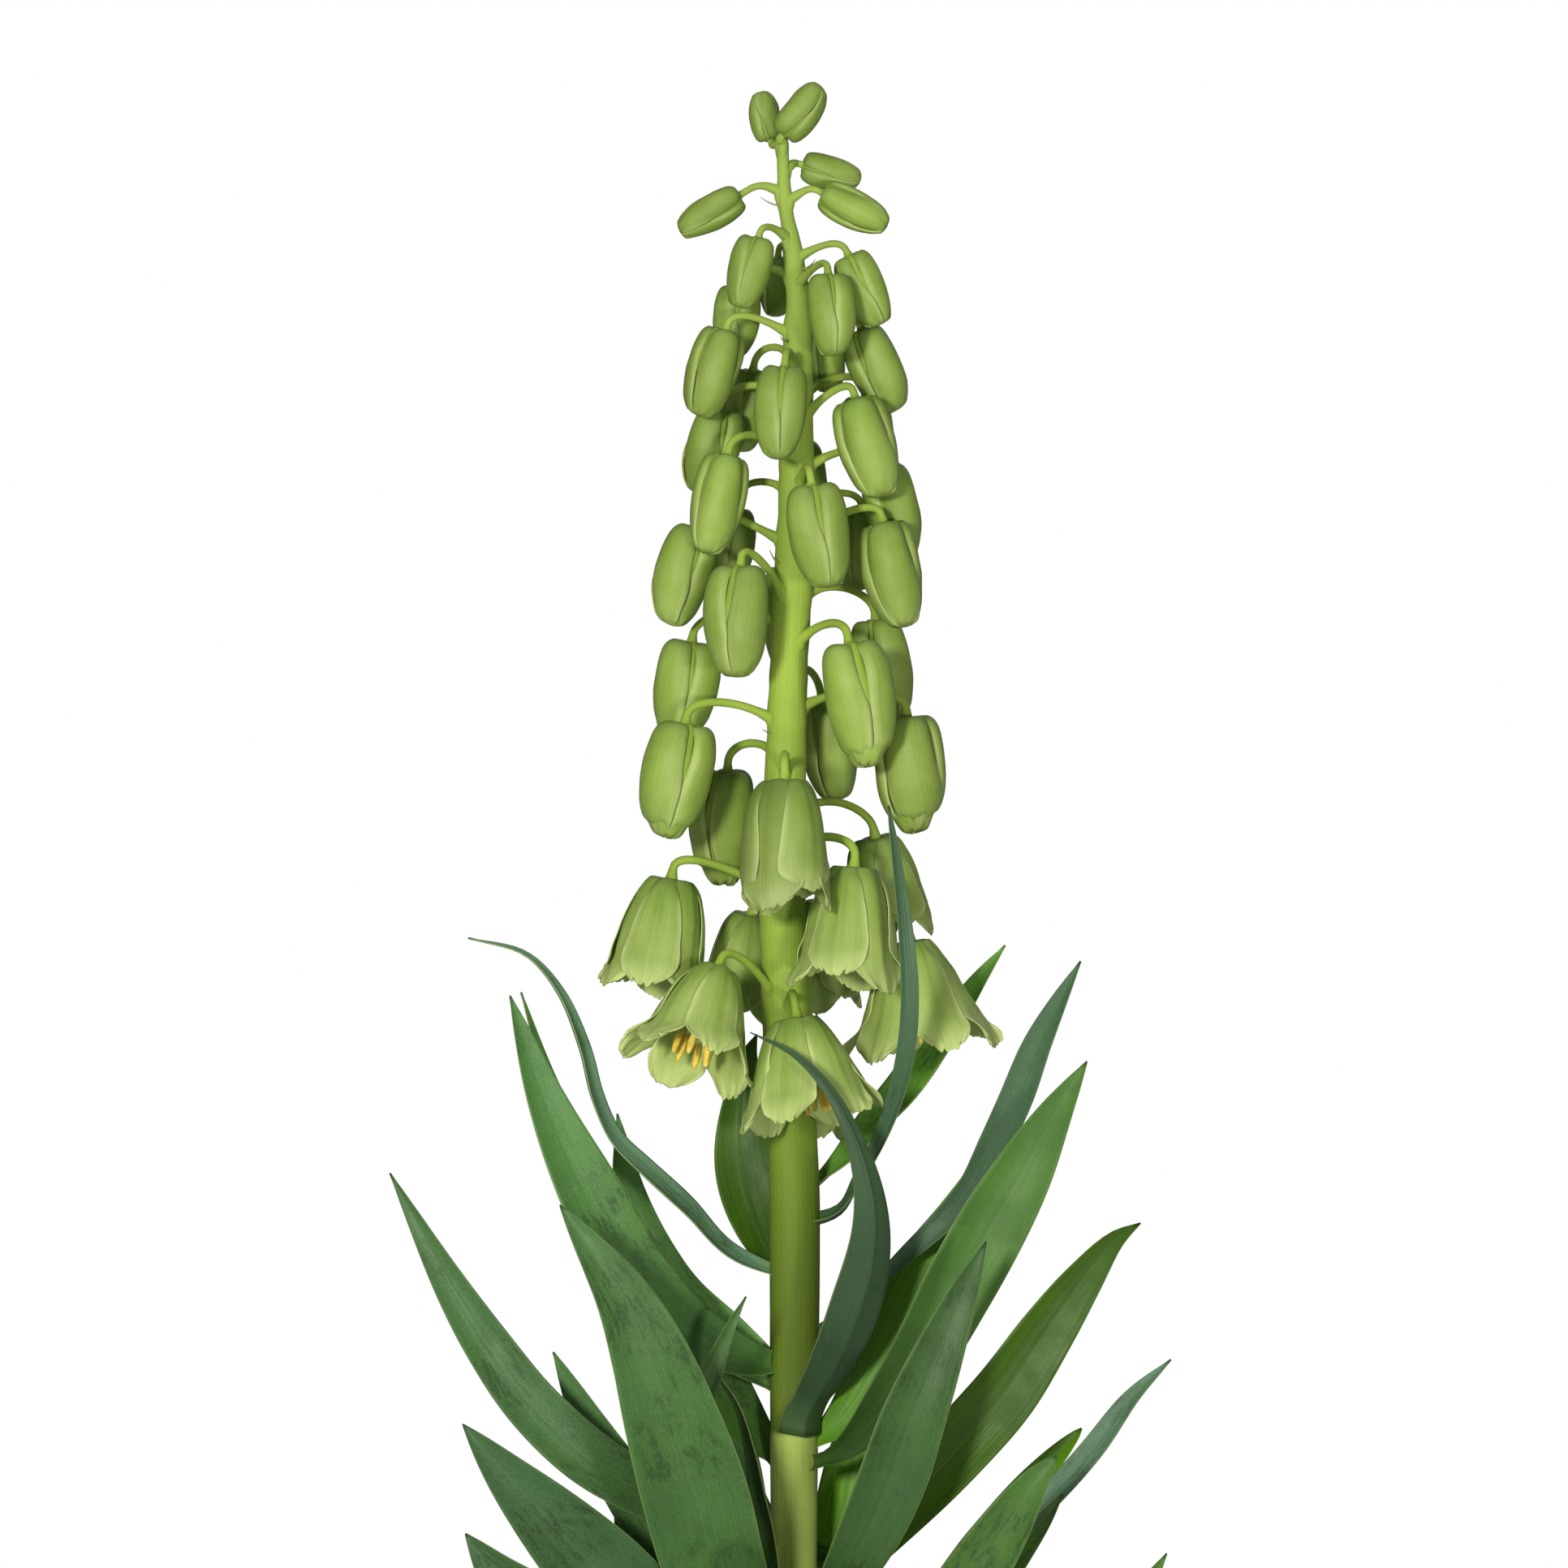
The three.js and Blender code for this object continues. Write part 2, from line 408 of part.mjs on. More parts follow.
const leafWidth = ({ wide, peak, foot }, u) => {
  const swell = Math.sin(Math.PI * u ** (Math.log(0.5) / Math.log(peak))) ** 0.85;
  return Math.max(wide * swell, foot * (1 - 2 * u), 0.9);
};

function makeLeaf(leaf) {
  const line = new THREE.CatmullRomCurve3(leaf.line.map(([x, near, z]) => point(x, -near, z)), false, "centripetal");
  const rings = Array.from({ length: leafSteps + 1 }, (_, i) => {
    const u = i / leafSteps;
    const here = line.getPointAt(u);
    const along = line.getTangentAt(u);
    const look = radians(mix(leaf.face[0], leaf.face[1], u));
    const toward = point(Math.sin(look), -Math.cos(look), 0.35);
    const across = toward.clone().cross(along).normalize();
    const face = along.clone().cross(across).normalize();
    const half = leafWidth(leaf, u) / 2;
    const drop = -2 * half * keel;
    const corner = (side, lift) => here.clone().addScaledVector(across, side).addScaledVector(face, lift);
    return [
      corner(-half, edgeThick / 2),
      corner(0, drop + ribThick / 2),
      corner(half, edgeThick / 2),
      corner(half, -edgeThick / 2),
      corner(0, drop - ribThick / 2),
      corner(-half, -edgeThick / 2),
    ];
  });
  return skin(rings, { mirrorFrom: 3, capQuads: [[0, 1, 4, 5], [1, 2, 3, 4]] });
}

// The pot, its soil, and the bulb in it

function makePot() {
  const { height, footRadius, neckRadius, rimRadius, rimHeight, wall, floor, edge } = pot;
  const shoulder = height - rimHeight;
  const body = lathe(
    [
      [0, 0],
      [footRadius - edge, 0],
      [footRadius, edge],
      [neckRadius, shoulder],
      [rimRadius - edge, shoulder + edge],
      [rimRadius, height - edge],
      [rimRadius - edge, height],
      [rimRadius - wall, height],
      [neckRadius - wall, shoulder],
      [footRadius - wall, floor],
      [0, floor],
    ],
    potSides,
  );
  const hole = (k) => {
    const angle = (2 * Math.PI * k) / drain.holes + Math.PI / potSides;
    const middle = point(drain.circle * Math.cos(angle), drain.circle * Math.sin(angle), 0);
    const ends = [-1, floor + 1].map((z) => middle.clone().setZ(z));
    return skin(ringsAlong(ends, [drain.radius, drain.radius], drain.sides));
  };
  return Array.from({ length: drain.holes }, (_, k) => hole(k)).reduce((rest, cut) => rest.subtract(cut), body);
}

const bulbSides = 14;
const bulbOutline = [[0, 0], [0.34, 0.02], [0.8, 0.16], [1, 0.4], [0.93, 0.62], [0.66, 0.8], [0.36, 0.94], [0.22, 1]];

function makeBulb() {
  const profile = bulbOutline.map(([r, z]) => [bulb.radius * r, bulb.bottom + bulb.height * z]);
  return lathe([...profile, [0, bulb.bottom + bulb.height]], bulbSides);
}

function makeSoil() {
  const { footRadius, neckRadius, rimRadius, rimHeight, wall, floor, height } = pot;
  const shoulder = height - rimHeight;
  const rimShare = (soil.top - shoulder) / rimHeight;
  const topRadius = mix(neckRadius - wall, rimRadius - wall, rimShare) - fitGap;
  const crown = soil.top + soil.crown;
  const bulbTop = bulb.bottom + bulb.height;
  const room = bulbOutline
    .slice(1, -1)
    .map(([r, z]) => [bulb.radius * r + soil.bulbRoom, bulb.bottom + bulb.height * z]);
  return lathe(
    [
      [0, floor + fitGap],
      [footRadius - wall - fitGap, floor + fitGap],
      [neckRadius - wall - fitGap, shoulder],
      [topRadius, soil.top],
      [topRadius * 0.7, soil.top + soil.edge],
      [topRadius * 0.35, crown],
      [soil.stemHole, crown - soil.edge],
      [soil.stemHole, bulbTop + soil.bulbRoom],
      ...room.reverse(),
      [0, bulb.bottom - fitGap],
    ],
    potSides,
  );
}

// The whole plant
const plant = new THREE.Group();
plant.add(meshOf("pot", makePot(), clay));
plant.add(meshOf("soil", makeSoil(), peat));
plant.add(meshOf("bulb", makeBulb(), bulbCream));

const flowers = flowerRows.map(flowerFrame);
plant.add(meshOf("leafy_stem", joined([makeStem(), ...leafRows.map(makeLeaf), ...flowers.map(makeStalk)]), stemGreen));

const openFrom = 0.3; // from here on the petals stand apart
const stamensFrom = 0.6; // and from here on the stamens show
flowers.forEach((flower, i) => {
  const label = String(i + 1).padStart(2, "0");
  if (flower.open < openFrom) {
    plant.add(meshOf(`bud_${label}`, makeBud(flower), budGreen));
    return;
  }
  plant.add(meshOf(`bell_${label}`, makeBell(flower), ivoryGreen));
  if (flower.open >= stamensFrom) plant.add(meshOf(`stamens_${label}`, makeStamens(flower), pollenYellow));
});

export default plant;
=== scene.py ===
import math
import bpy
import numpy as np
from mathutils import Matrix, Vector


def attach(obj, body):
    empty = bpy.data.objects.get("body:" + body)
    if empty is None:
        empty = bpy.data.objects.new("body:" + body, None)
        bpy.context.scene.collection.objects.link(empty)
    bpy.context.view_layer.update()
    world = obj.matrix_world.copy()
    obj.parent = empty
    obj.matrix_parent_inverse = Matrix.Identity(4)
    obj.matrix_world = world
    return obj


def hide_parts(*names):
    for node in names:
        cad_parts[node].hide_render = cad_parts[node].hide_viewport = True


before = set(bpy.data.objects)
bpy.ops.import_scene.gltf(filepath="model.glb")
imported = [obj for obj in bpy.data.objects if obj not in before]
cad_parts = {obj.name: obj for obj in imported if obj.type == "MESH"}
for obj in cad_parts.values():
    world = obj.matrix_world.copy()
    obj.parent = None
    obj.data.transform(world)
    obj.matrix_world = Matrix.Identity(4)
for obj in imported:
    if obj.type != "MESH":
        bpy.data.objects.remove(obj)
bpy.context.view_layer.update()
print("frame loaded")

mm = 0.001
scene = bpy.context.scene

# camera, at the photo's viewing angle and crop
shot = {"distance": 3.0, "aimX": -0.00185, "aimZ": 0.3436, "framed": 0.29723, "sensor": 36.0, "clip": 100}
cam = bpy.data.cameras.new("photoCam")
cam.sensor_width = shot["sensor"]
cam.lens = shot["sensor"] * shot["distance"] / shot["framed"]
cam.clip_end = shot["clip"]
camObj = bpy.data.objects.new("photoCam", cam)
camObj.location = (shot["aimX"], -shot["distance"], shot["aimZ"])
camObj.rotation_euler = (math.radians(90), 0, 0)
scene.collection.objects.link(camObj)
scene.camera = camObj
scene.view_settings.view_transform = "Standard"

# lights: place, aim, size, power and tint
lights = {
    "keyLight": ((-0.75, -2.7, 0.62), (0, 0, 0.33), 0.34, 56, (1.0, 0.98, 0.93)),
    "fillLight": ((0.95, -2.6, 0.1), (0, 0, 0.33), 0.3, 22, (1.0, 0.99, 0.95)),
    "topLight": ((-0.4, -0.5, 2.4), (0, 0, 0.35), 0.9, 9, (1.0, 1.0, 0.97)),
    "backLight": ((0.7, 1.7, 1.3), (0, 0, 0.35), 1.2, 4, (1.0, 1.0, 0.96)),
}
for name, (spot, aim, size, power, tint) in lights.items():
    lamp = bpy.data.lights.new(name, "AREA")
    lamp.shape = "DISK"
    lamp.size = size
    lamp.energy = power
    lamp.color = tint
    lampObj = bpy.data.objects.new(name, lamp)
    lampObj.location = spot
    lampObj.rotation_euler = (Vector(aim) - Vector(spot)).to_track_quat("-Z", "Y").to_euler()
    scene.collection.objects.link(lampObj)
print("camera and lights set")


# smooth curves
def curveAt(pairs, t):
    # a smooth value at t through (t, value) pairs, with no overshoot
    xs, ys = np.array(pairs, float).T
    t = np.clip(np.asarray(t, float), xs[0], xs[-1])
    gap = np.diff(xs)
    rise = np.diff(ys) / gap
    before, after = rise[:-1], rise[1:]
    level = np.where(before * after > 0, 2 * before * after / (before + after + 1e-12), 0)
    slope = np.concatenate([rise[:1], level, rise[-1:]])
    i = np.clip(np.searchsorted(xs, t, side="right") - 1, 0, len(gap) - 1)
    s = (t - xs[i]) / gap[i]
    return (
        ys[i] * (2 * s**3 - 3 * s**2 + 1) + ys[i + 1] * (3 * s**2 - 2 * s**3)
        + slope[i] * gap[i] * (s**3 - 2 * s**2 + s) + slope[i + 1] * gap[i] * (s**3 - s**2)
    )


def smooth(low, high, t):
    # 0 at low and 1 at high, which may be the smaller one, with soft ends
    s = np.clip((np.asarray(t, float) - low) / (high - low), 0, 1)
    return s * s * (3 - 2 * s)


def between(a, ta, b, tb, t):
    # what lies at t on the line from a at ta to b at tb
    return (tb - t) / (tb - ta) * a + (t - ta) / (tb - ta) * b


def throughPoints(points, count, steps=24):
    # points evenly spaced on a centripetal spline through the given ones
    p = np.asarray(points, float)
    p = np.vstack([2 * p[0] - p[1], p, 2 * p[-1] - p[-2]])
    fine = []
    for i in range(1, len(p) - 2):
        near = p[i - 1:i + 3]
        at = [0.0]
        for a, b in zip(near, near[1:]):
            at.append(at[-1] + np.linalg.norm(b - a) ** 0.5)
        for t in np.linspace(at[1], at[2], steps, endpoint=(i == len(p) - 3)):
            one = [between(near[k], at[k], near[k + 1], at[k + 1], t) for k in range(3)]
            two = [between(one[k], at[k], one[k + 1], at[k + 2], t) for k in range(2)]
            fine.append(between(two[0], at[1], two[1], at[2], t))
    fine = np.array(fine)
    run = np.concatenate([[0], np.cumsum(np.linalg.norm(np.diff(fine, axis=0), axis=1))])
    spaced = np.linspace(0, run[-1], count)
    return np.stack([np.interp(spaced, run, fine[:, k]) for k in range(3)], axis=1)


# meshes
def newMesh(name, verts, faces, attributes, mat=None):
    mesh = bpy.data.meshes.new(name)
    mesh.from_pydata([tuple(v) for v in verts], [], [tuple(f) for f in faces])
    for key, values in attributes.items():
        mesh.attributes.new(key, "FLOAT", "POINT").data.foreach_set("value", np.asarray(values, np.float32))
    if mat:
        mesh.materials.append(mat)
    mesh.polygons.foreach_set("use_smooth", [True] * len(mesh.polygons))
    mesh.update()
    return mesh


def place(name, mesh, nodes):
    obj = bpy.data.objects.new(name, mesh)
    scene.collection.objects.link(obj)
    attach(obj, "root")
    if nodes:
        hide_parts(*nodes)


def bladeFaces(rows, cols):
    # quads of a closed blade: an outer grid, an inner grid, and a wall round their rim
    faces = []
    half = rows * cols
    for i in range(rows - 1):
        for j in range(cols - 1):
            a = i * cols + j
            faces.append((a, a + 1, a + cols + 1, a + cols))
            faces.append((half + a, half + a + cols, half + a + cols + 1, half + a + 1))
    rim = list(range(cols))
    rim += [i * cols + cols - 1 for i in range(1, rows)]
    rim += [(rows - 1) * cols + j for j in range(cols - 2, -1, -1)]
    rim += [i * cols for i in range(rows - 2, 0, -1)]
    for a, b in zip(rim, rim[1:] + rim[:1]):
        faces.append((a, half + a, half + b, b))
    return faces


def ringFaces(rings, sides):
    # quads from ring to ring, and a fan at each end to one of the last two points
    faces = []
    for i in range(rings - 1):
        for k in range(sides):
            a, b = i * sides + k, i * sides + (k + 1) % sides
            faces.append((a, b, b + sides, a + sides))
    last, first = (rings - 1) * sides, rings * sides
    for k in range(sides):
        faces.append((first, (k + 1) % sides, k))
        faces.append((first + 1, last + k, last + (k + 1) % sides))
    return faces


def facedOut(verts, faces):
    # turns every face round if the closed shape is inside out
    total = 0.0
    for f in faces:
        for k in range(1, len(f) - 1):
            total += np.dot(verts[f[0]], np.cross(verts[f[k]], verts[f[k + 1]]))
    return faces if total > 0 else [tuple(reversed(f)) for f in faces]


def merged(parts):
    # several (verts, faces, attributes) as one
    faces, attributes, base = [], {}, 0
    for v, f, data in parts:
        faces += [tuple(i + base for i in face) for face in f]
        for key, values in data.items():
            attributes.setdefault(key, []).append(np.asarray(values, float))
        base += len(v)
    joined = {key: np.concatenate(values) for key, values in attributes.items()}
    return np.vstack([part[0] for part in parts]), faces, joined


def tube(path, radii, sides):
    # a round rod along a path, each end closed to a point
    path = np.asarray(path, float)
    step = np.gradient(path, axis=0)
    step /= np.linalg.norm(step, axis=1, keepdims=True)
    hint = np.array([0.0, 0.0, 1.0]) if abs(step[0][2]) < 0.8 else np.array([1.0, 0.0, 0.0])
    verts, along, across = [], [], []
    for i, (p, d, r) in enumerate(zip(path, step, radii)):
        a = np.cross(hint, d)
        a /= np.linalg.norm(a)
        b = np.cross(d, a)
        for k in range(sides):
            angle = 2 * math.pi * k / sides
            verts.append(p + r * (a * math.cos(angle) + b * math.sin(angle)))
            along.append(i / (len(path) - 1))
            across.append(2 * k / sides - 1)
    verts += [path[0] - step[0] * radii[0] * 0.4, path[-1] + step[-1] * radii[-1] * 0.5]
    verts = np.array(verts)
    data = {"along": along + [0, 1], "across": across + [0, 0], "inside": np.zeros(len(verts))}
    return verts, facedOut(verts, ringFaces(len(path), sides)), data


# nodes, in geometry and shader trees alike
def newTree(kind, name, ins, outs):
    # an empty tree; an input is given by its value, or by a word for its kind
    tree = bpy.data.node_groups.new(name, kind)
    for label, value in ins.items():
        word = value if isinstance(value, str) else type(value).__name__.title()
        socket = tree.interface.new_socket(label, in_out="INPUT", socket_type="NodeSocket" + word)
        if word != value:
            socket.default_value = value
    for label, word in outs.items():
        tree.interface.new_socket(label, in_out="OUTPUT", socket_type="NodeSocket" + word)
    return tree, tree.nodes.new("NodeGroupInput").outputs, tree.nodes.new("NodeGroupOutput").inputs


def runTree(tree, base, values):
    # the mesh that the tree makes of base, with the modifier gone again
    obj = bpy.data.objects.new("working", base)
    scene.collection.objects.link(obj)
    mod = obj.modifiers.new("working", "NODES")
    mod.node_group = tree
    for item in tree.interface.items_tree:
        if item.item_type == "SOCKET" and item.in_out == "INPUT" and item.name in values:
            mod[item.identifier] = values[item.name]
    obj.update_tag()
    bpy.context.view_layer.update()
    ready = obj.evaluated_get(bpy.context.evaluated_depsgraph_get())
    mesh = bpy.data.meshes.new_from_object(ready)
    obj.modifiers.remove(mod)
    bpy.data.objects.remove(obj)
    return mesh


def feed(tree, socket, value):
    if isinstance(value, bpy.types.NodeSocket):
        tree.links.new(value, socket)
    else:
        socket.default_value = value


def add(tree, kind, inputs=None, **props):
    n = tree.nodes.new(kind)
    for key, value in props.items():
        setattr(n, key, value)
    for key, value in (inputs or {}).items():
        feed(tree, n.inputs[key], value)
    return n


def calc(tree, op, a, b=0.0, c=0.0):
    return add(tree, "ShaderNodeMath", {0: a, 1: b, 2: c}, operation=op).outputs[0]


def times(tree, a, b):
    return calc(tree, "MULTIPLY", a, b)


def remap(tree, value, fromLow, fromHigh, toLow=0.0, toHigh=1.0):
    inputs = {0: value, 1: fromLow, 2: fromHigh, 3: toLow, 4: toHigh}
    return add(tree, "ShaderNodeMapRange", inputs, interpolation_type="SMOOTHSTEP").outputs[0]


def vector(tree, x=0.0, y=0.0, z=0.0):
    return add(tree, "ShaderNodeCombineXYZ", {0: x, 1: y, 2: z}).outputs[0]


def vectorCalc(tree, op, a, b):
    # two vectors, or for SCALE a vector and a number
    second = "Scale" if op == "SCALE" else 1
    return add(tree, "ShaderNodeVectorMath", {0: a, second: b}, operation=op).outputs[0]


def noise(tree, where, scale, detail, more=None, output="Fac"):
    inputs = {"Vector": where, "Scale": scale, "Detail": detail, **(more or {})}
    return add(tree, "ShaderNodeTexNoise", inputs).outputs[output]


# shaders
def rgb(*levels):
    # a screen colour, 0 to 255, as a linear one
    shares = [c / 255 for c in levels]
    return tuple(c / 12.92 if c <= 0.04045 else ((c + 0.055) / 1.055) ** 2.4 for c in shares) + (1.0,)


def blendRgb(tree, share, a, b):
    return add(tree, "ShaderNodeMix", data_type="RGBA", inputs={0: share, 6: a, 7: b}).outputs[2]


def layered(tree, look, tint, coats):
    # lays each colour, by its name in the look, over what is there by its share
    for share, colour in coats:
        tint = blendRgb(tree, share, tint, look[colour] if isinstance(colour, str) else colour)
    return tint


def stored(tree, *names):
    return [add(tree, "ShaderNodeAttribute", attribute_name=name).outputs["Fac"] for name in names]


def ownPlace(tree):
    return add(tree, "ShaderNodeTexCoord").outputs["Object"]


def useGroup(tree, group, inputs):
    # a group's outputs, placed with its own values
    n = tree.nodes.new("ShaderNodeGroup")
    n.node_tree = group
    for key, value in inputs.items():
        feed(tree, n.inputs[key], value)
    return n.outputs


def newMat(name, roughness, specular=0.4):
    mat = bpy.data.materials.new(name)
    mat.use_nodes = True
    shader = mat.node_tree.nodes["Principled BSDF"]
    shader.inputs["Roughness"].default_value = roughness
    shader.inputs["Specular IOR Level"].default_value = specular
    return mat, mat.node_tree, shader


def bumped(tree, shader, height, strength, distance):
    bump = add(tree, "ShaderNodeBump", {"Strength": strength, "Distance": distance, "Height": height})
    tree.links.new(bump.outputs[0], shader.inputs["Normal"])


def translucent(shader, weight, scale, radius):
    for key, value in (("Weight", weight), ("Scale", scale), ("Radius", radius)):
        shader.inputs["Subsurface " + key].default_value = value


# world: white to the camera, a soft shade to the plant
air = {"seen": (1, 1, 1, 1), "shade": (0.95, 0.98, 1.0, 1), "strength": 0.13}
scene.world = bpy.data.worlds.new("studio")
scene.world.use_nodes = True
t = scene.world.node_tree
t.nodes.clear()
rays = add(t, "ShaderNodeLightPath").outputs["Is Camera Ray"]
soft = add(t, "ShaderNodeBackground", {"Color": air["shade"], "Strength": air["strength"]}).outputs[0]
seen = add(t, "ShaderNodeBackground", {"Color": air["seen"]}).outputs[0]
add(t, "ShaderNodeOutputWorld", {0: add(t, "ShaderNodeMixShader", {0: rays, 1: soft, 2: seen}).outputs[0]})

# group: lines that run along a blade, as veins, as fine streaks and as short strokes
veinGroup, ins, outs = newTree(
    "ShaderNodeTree", "parallelVeins",
    {"Along": 0.0, "Across": 0.0, "Veins": 9.0, "Seed": 0.0, "Stretch": 3.0},
    {"Vein": "Float", "Streak": "Float", "Height": "Float", "Stroke": "Float"})
g = veinGroup
along, across, count, seed = (ins[k] for k in ("Along", "Across", "Veins", "Seed"))
drift = noise(g, vector(g, times(g, across, 2.2), times(g, along, ins["Stretch"]), seed), 1.3, 2.0)
shifted = calc(g, "MULTIPLY_ADD", calc(g, "SUBTRACT", drift, 0.5), 0.16, across)
wave = calc(g, "SINE", times(g, times(g, shifted, count), math.pi))
lines = calc(g, "POWER", calc(g, "ABSOLUTE", wave), 0.6)
long = vector(g, times(g, across, times(g, count, 2.6)), along, seed)
streak = noise(g, long, 1.5, 3.0, {"Roughness": 0.6})
short = vector(g, times(g, across, 6.0), times(g, along, 22.0), seed)
stroke = noise(g, short, 1.0, 4.0, {"Roughness": 0.62})
feed(g, outs["Vein"], calc(g, "SUBTRACT", 1.0, lines))
feed(g, outs["Streak"], streak)
feed(g, outs["Height"], calc(g, "MULTIPLY_ADD", lines, 0.6, streak))
feed(g, outs["Stroke"], remap(g, stroke, 0.48, 0.58))

# group: soft patches and small marks from the object's own coordinates
patchGroup, ins, outs = newTree(
    "ShaderNodeTree", "softPatches", {"Scale": 60.0, "Marks": 400.0},
    {"Patch": "Float", "Mark": "Float", "Cloud": "Float"})
g = patchGroup
where = ownPlace(g)
cloud = noise(g, where, ins["Scale"], 4.0, {"Roughness": 0.55})
speck = noise(g, where, ins["Marks"], 3.0, {"Distortion": 0.6})
feed(g, outs["Patch"], remap(g, cloud, 0.36, 0.66))
feed(g, outs["Mark"], remap(g, speck, 0.66, 0.76))
feed(g, outs["Cloud"], cloud)


def patchy(tree, scale, marks):
    return useGroup(tree, patchGroup, {"Scale": scale, "Marks": marks})


def coloured(tree, shader, tint):
    tree.links.new(tint, shader.inputs["Base Color"])


# tepals: green buds that pale to ivory with age, a green middle and a cream rim
tepalLook = {
    "young": rgb(132, 156, 58), "grown": rgb(148, 172, 70), "ivory": rgb(174, 196, 108),
    "rim": rgb(200, 216, 138), "rib": rgb(142, 170, 58), "neck": rgb(104, 132, 60), "shade": rgb(92, 120, 48),
    "slit": rgb(130, 156, 50), "lining": rgb(186, 202, 112), "edgeShade": rgb(80, 98, 46),
    "frost": rgb(164, 184, 106), "band": rgb(104, 142, 44), "speck": rgb(120, 116, 60),
    "roughness": 0.5, "specular": 0.3, "veins": 9.0, "patches": (110.0, 900.0), "bump": (0.1, 0.0004),
}


def tepalMaterial(name, inner):
    look = tepalLook
    mat, t, s = newMat(name, look["roughness"], look["specular"])
    along, across, inside, age, tone = stored(t, "along", "across", "inside", "age", "tone")
    veins = useGroup(t, veinGroup, {
        "Along": along, "Across": across, "Veins": look["veins"], "Seed": times(t, tone, 9.0)})
    spots = patchy(t, *look["patches"])
    side = calc(t, "ABSOLUTE", across)
    ripe = times(t, remap(t, age, 0.45, 1.0), remap(t, along, 0.15, 0.75, 0.2, 0.85))
    # the tip and the rim pale first
    tipPale = times(t, remap(t, along, 0.5, 1.0), calc(t, "MULTIPLY_ADD", age, 0.6, 0.15))
    rimAge = times(t, remap(t, along, 0.12, 0.45), remap(t, age, 0.0, 0.9, 0.5, 0.85))
    rimPale = times(t, remap(t, side, 0.66, 1.0), rimAge)
    ribGreen = times(t, remap(t, side, 0.0, 0.5, 1.0, 0.0), remap(t, along, 0.15, 1.0, 0.6, 0.2))
    # an open bell's tepals have a green band along the middle
    band = times(t, remap(t, side, 0.05, 0.42, 1.0, 0.0), remap(t, along, 0.25, 0.95, 0.42, 0.0))
    body = layered(t, look, look["young"], [
        (remap(t, age, 0.0, 0.5), "grown"), (ripe, "ivory"), (tipPale, "ivory"), (rimPale, "rim"),
        (ribGreen, "rib"), (remap(t, along, 0.0, 0.4, 0.8, 0.0), "neck"),
        (times(t, band, remap(t, age, 0.5, 0.75)), "band"),
        # lines, clearest near the neck, and soft patches
        (times(t, veins["Vein"], remap(t, along, 0.1, 0.9, 0.26, 0.1)), "shade"),
        (remap(t, veins["Streak"], 0.4, 0.62, 0.2, 0.0), "shade"), (times(t, spots["Patch"], 0.26), "frost"),
        (remap(t, spots["Cloud"], 0.35, 0.65, 0.2, 0.0), "neck"), (times(t, spots["Mark"], 0.12), "speck")])
    if inner:
        # in a shut bud only the middle of the inner tepals shows, down in the slit; painted light: it is
        # painted a lighter yellow-green against the shade there
        shut = times(t, remap(t, age, 0.4, 0.62, 0.85, 0.0), remap(t, along, 0.55, 0.8, 1.0, 0.2))
        body = layered(t, look, body, [(shut, "slit")])
    # painted light: an open bell's tips and rims are painted paler, as if light shone through them
    rimLitThrough = times(t, remap(t, side, 0.8, 1.0, 0.0, 0.7), remap(t, along, 0.15, 0.5))
    thin = calc(t, "MAXIMUM", remap(t, along, 0.72, 1.0, 0.0, 0.55), rimLitThrough)
    # painted shade: the surface is painted darker where it is seen edge-on, along the silhouette
    grazing = add(t, "ShaderNodeLayerWeight", {"Blend": 0.26}).outputs["Facing"]
    edgeDarkening = calc(t, "MULTIPLY_ADD", remap(t, grazing, 0.6, 1.0), 0.3, times(t, grazing, 0.45))
    body = layered(t, look, body, [
        (times(t, inside, 0.3), "lining"), (times(t, thin, remap(t, age, 0.5, 0.8)), "rim"),
        (times(t, edgeDarkening, remap(t, age, 0.5, 0.8, 1.0, 0.5)), "edgeShade")])
    value = calc(t, "MULTIPLY_ADD", tone, 0.26, 0.86)
    body = add(t, "ShaderNodeHueSaturation", {"Color": body, "Value": value}).outputs[0]
    coloured(t, s, body)
    t.links.new(calc(t, "MULTIPLY_ADD", veins["Streak"], 0.2, 0.42), s.inputs["Roughness"])
    bumped(t, s, veins["Height"], *look["bump"])
    translucent(s, 0.12, 0.0012, (0.6, 1.0, 0.25))
    return mat


outerMat = tepalMaterial("outerTepal", False)
innerMat = tepalMaterial("innerTepal", True)

# stamens and pistil
antherLook = {"gold": rgb(222, 188, 62), "pale": rgb(240, 214, 104), "old": rgb(160, 128, 58)}
antherMat, t, s = newMat("anther", 0.75, 0.2)
spots = patchy(t, 700.0, 2600.0)
faded = times(t, remap(t, stored(t, "tone")[0], 0.62, 0.8), 0.5)
coloured(t, s, layered(t, antherLook, antherLook["gold"], [(spots["Patch"], "pale"), (faded, "old")]))
bumped(t, s, spots["Mark"], 0.5, 0.0003)

threadLook = {"foot": rgb(176, 192, 110), "tip": rgb(224, 224, 168)}
threadMat, t, s = newMat("filament", 0.45)
upper = remap(t, stored(t, "along")[0], 0.0, 0.8)
coloured(t, s, blendRgb(t, upper, threadLook["foot"], threadLook["tip"]))

# stem and stalks: yellow-green with lengthwise streaks
stemLook = {
    "low": rgb(106, 130, 40), "light": rgb(164, 190, 76), "deep": rgb(96, 124, 36), "top": rgb(158, 182, 84),
    "scar": rgb(136, 120, 66), "foot": rgb(184, 204, 104), "dim": rgb(96, 116, 38),
    "veins": 13.0, "stretch": 10.0, "patches": (28.0, 520.0), "bump": (0.16, 0.0004),
}
stemMat, t, s = newMat("stem", 0.6, 0.16)
along, across = stored(t, "along", "across")
veins = useGroup(t, veinGroup, {
    "Along": along, "Across": across, "Veins": stemLook["veins"], "Stretch": stemLook["stretch"]})
spots = patchy(t, *stemLook["patches"])
height = add(t, "ShaderNodeSeparateXYZ", {"Vector": ownPlace(t)}).outputs["Z"]
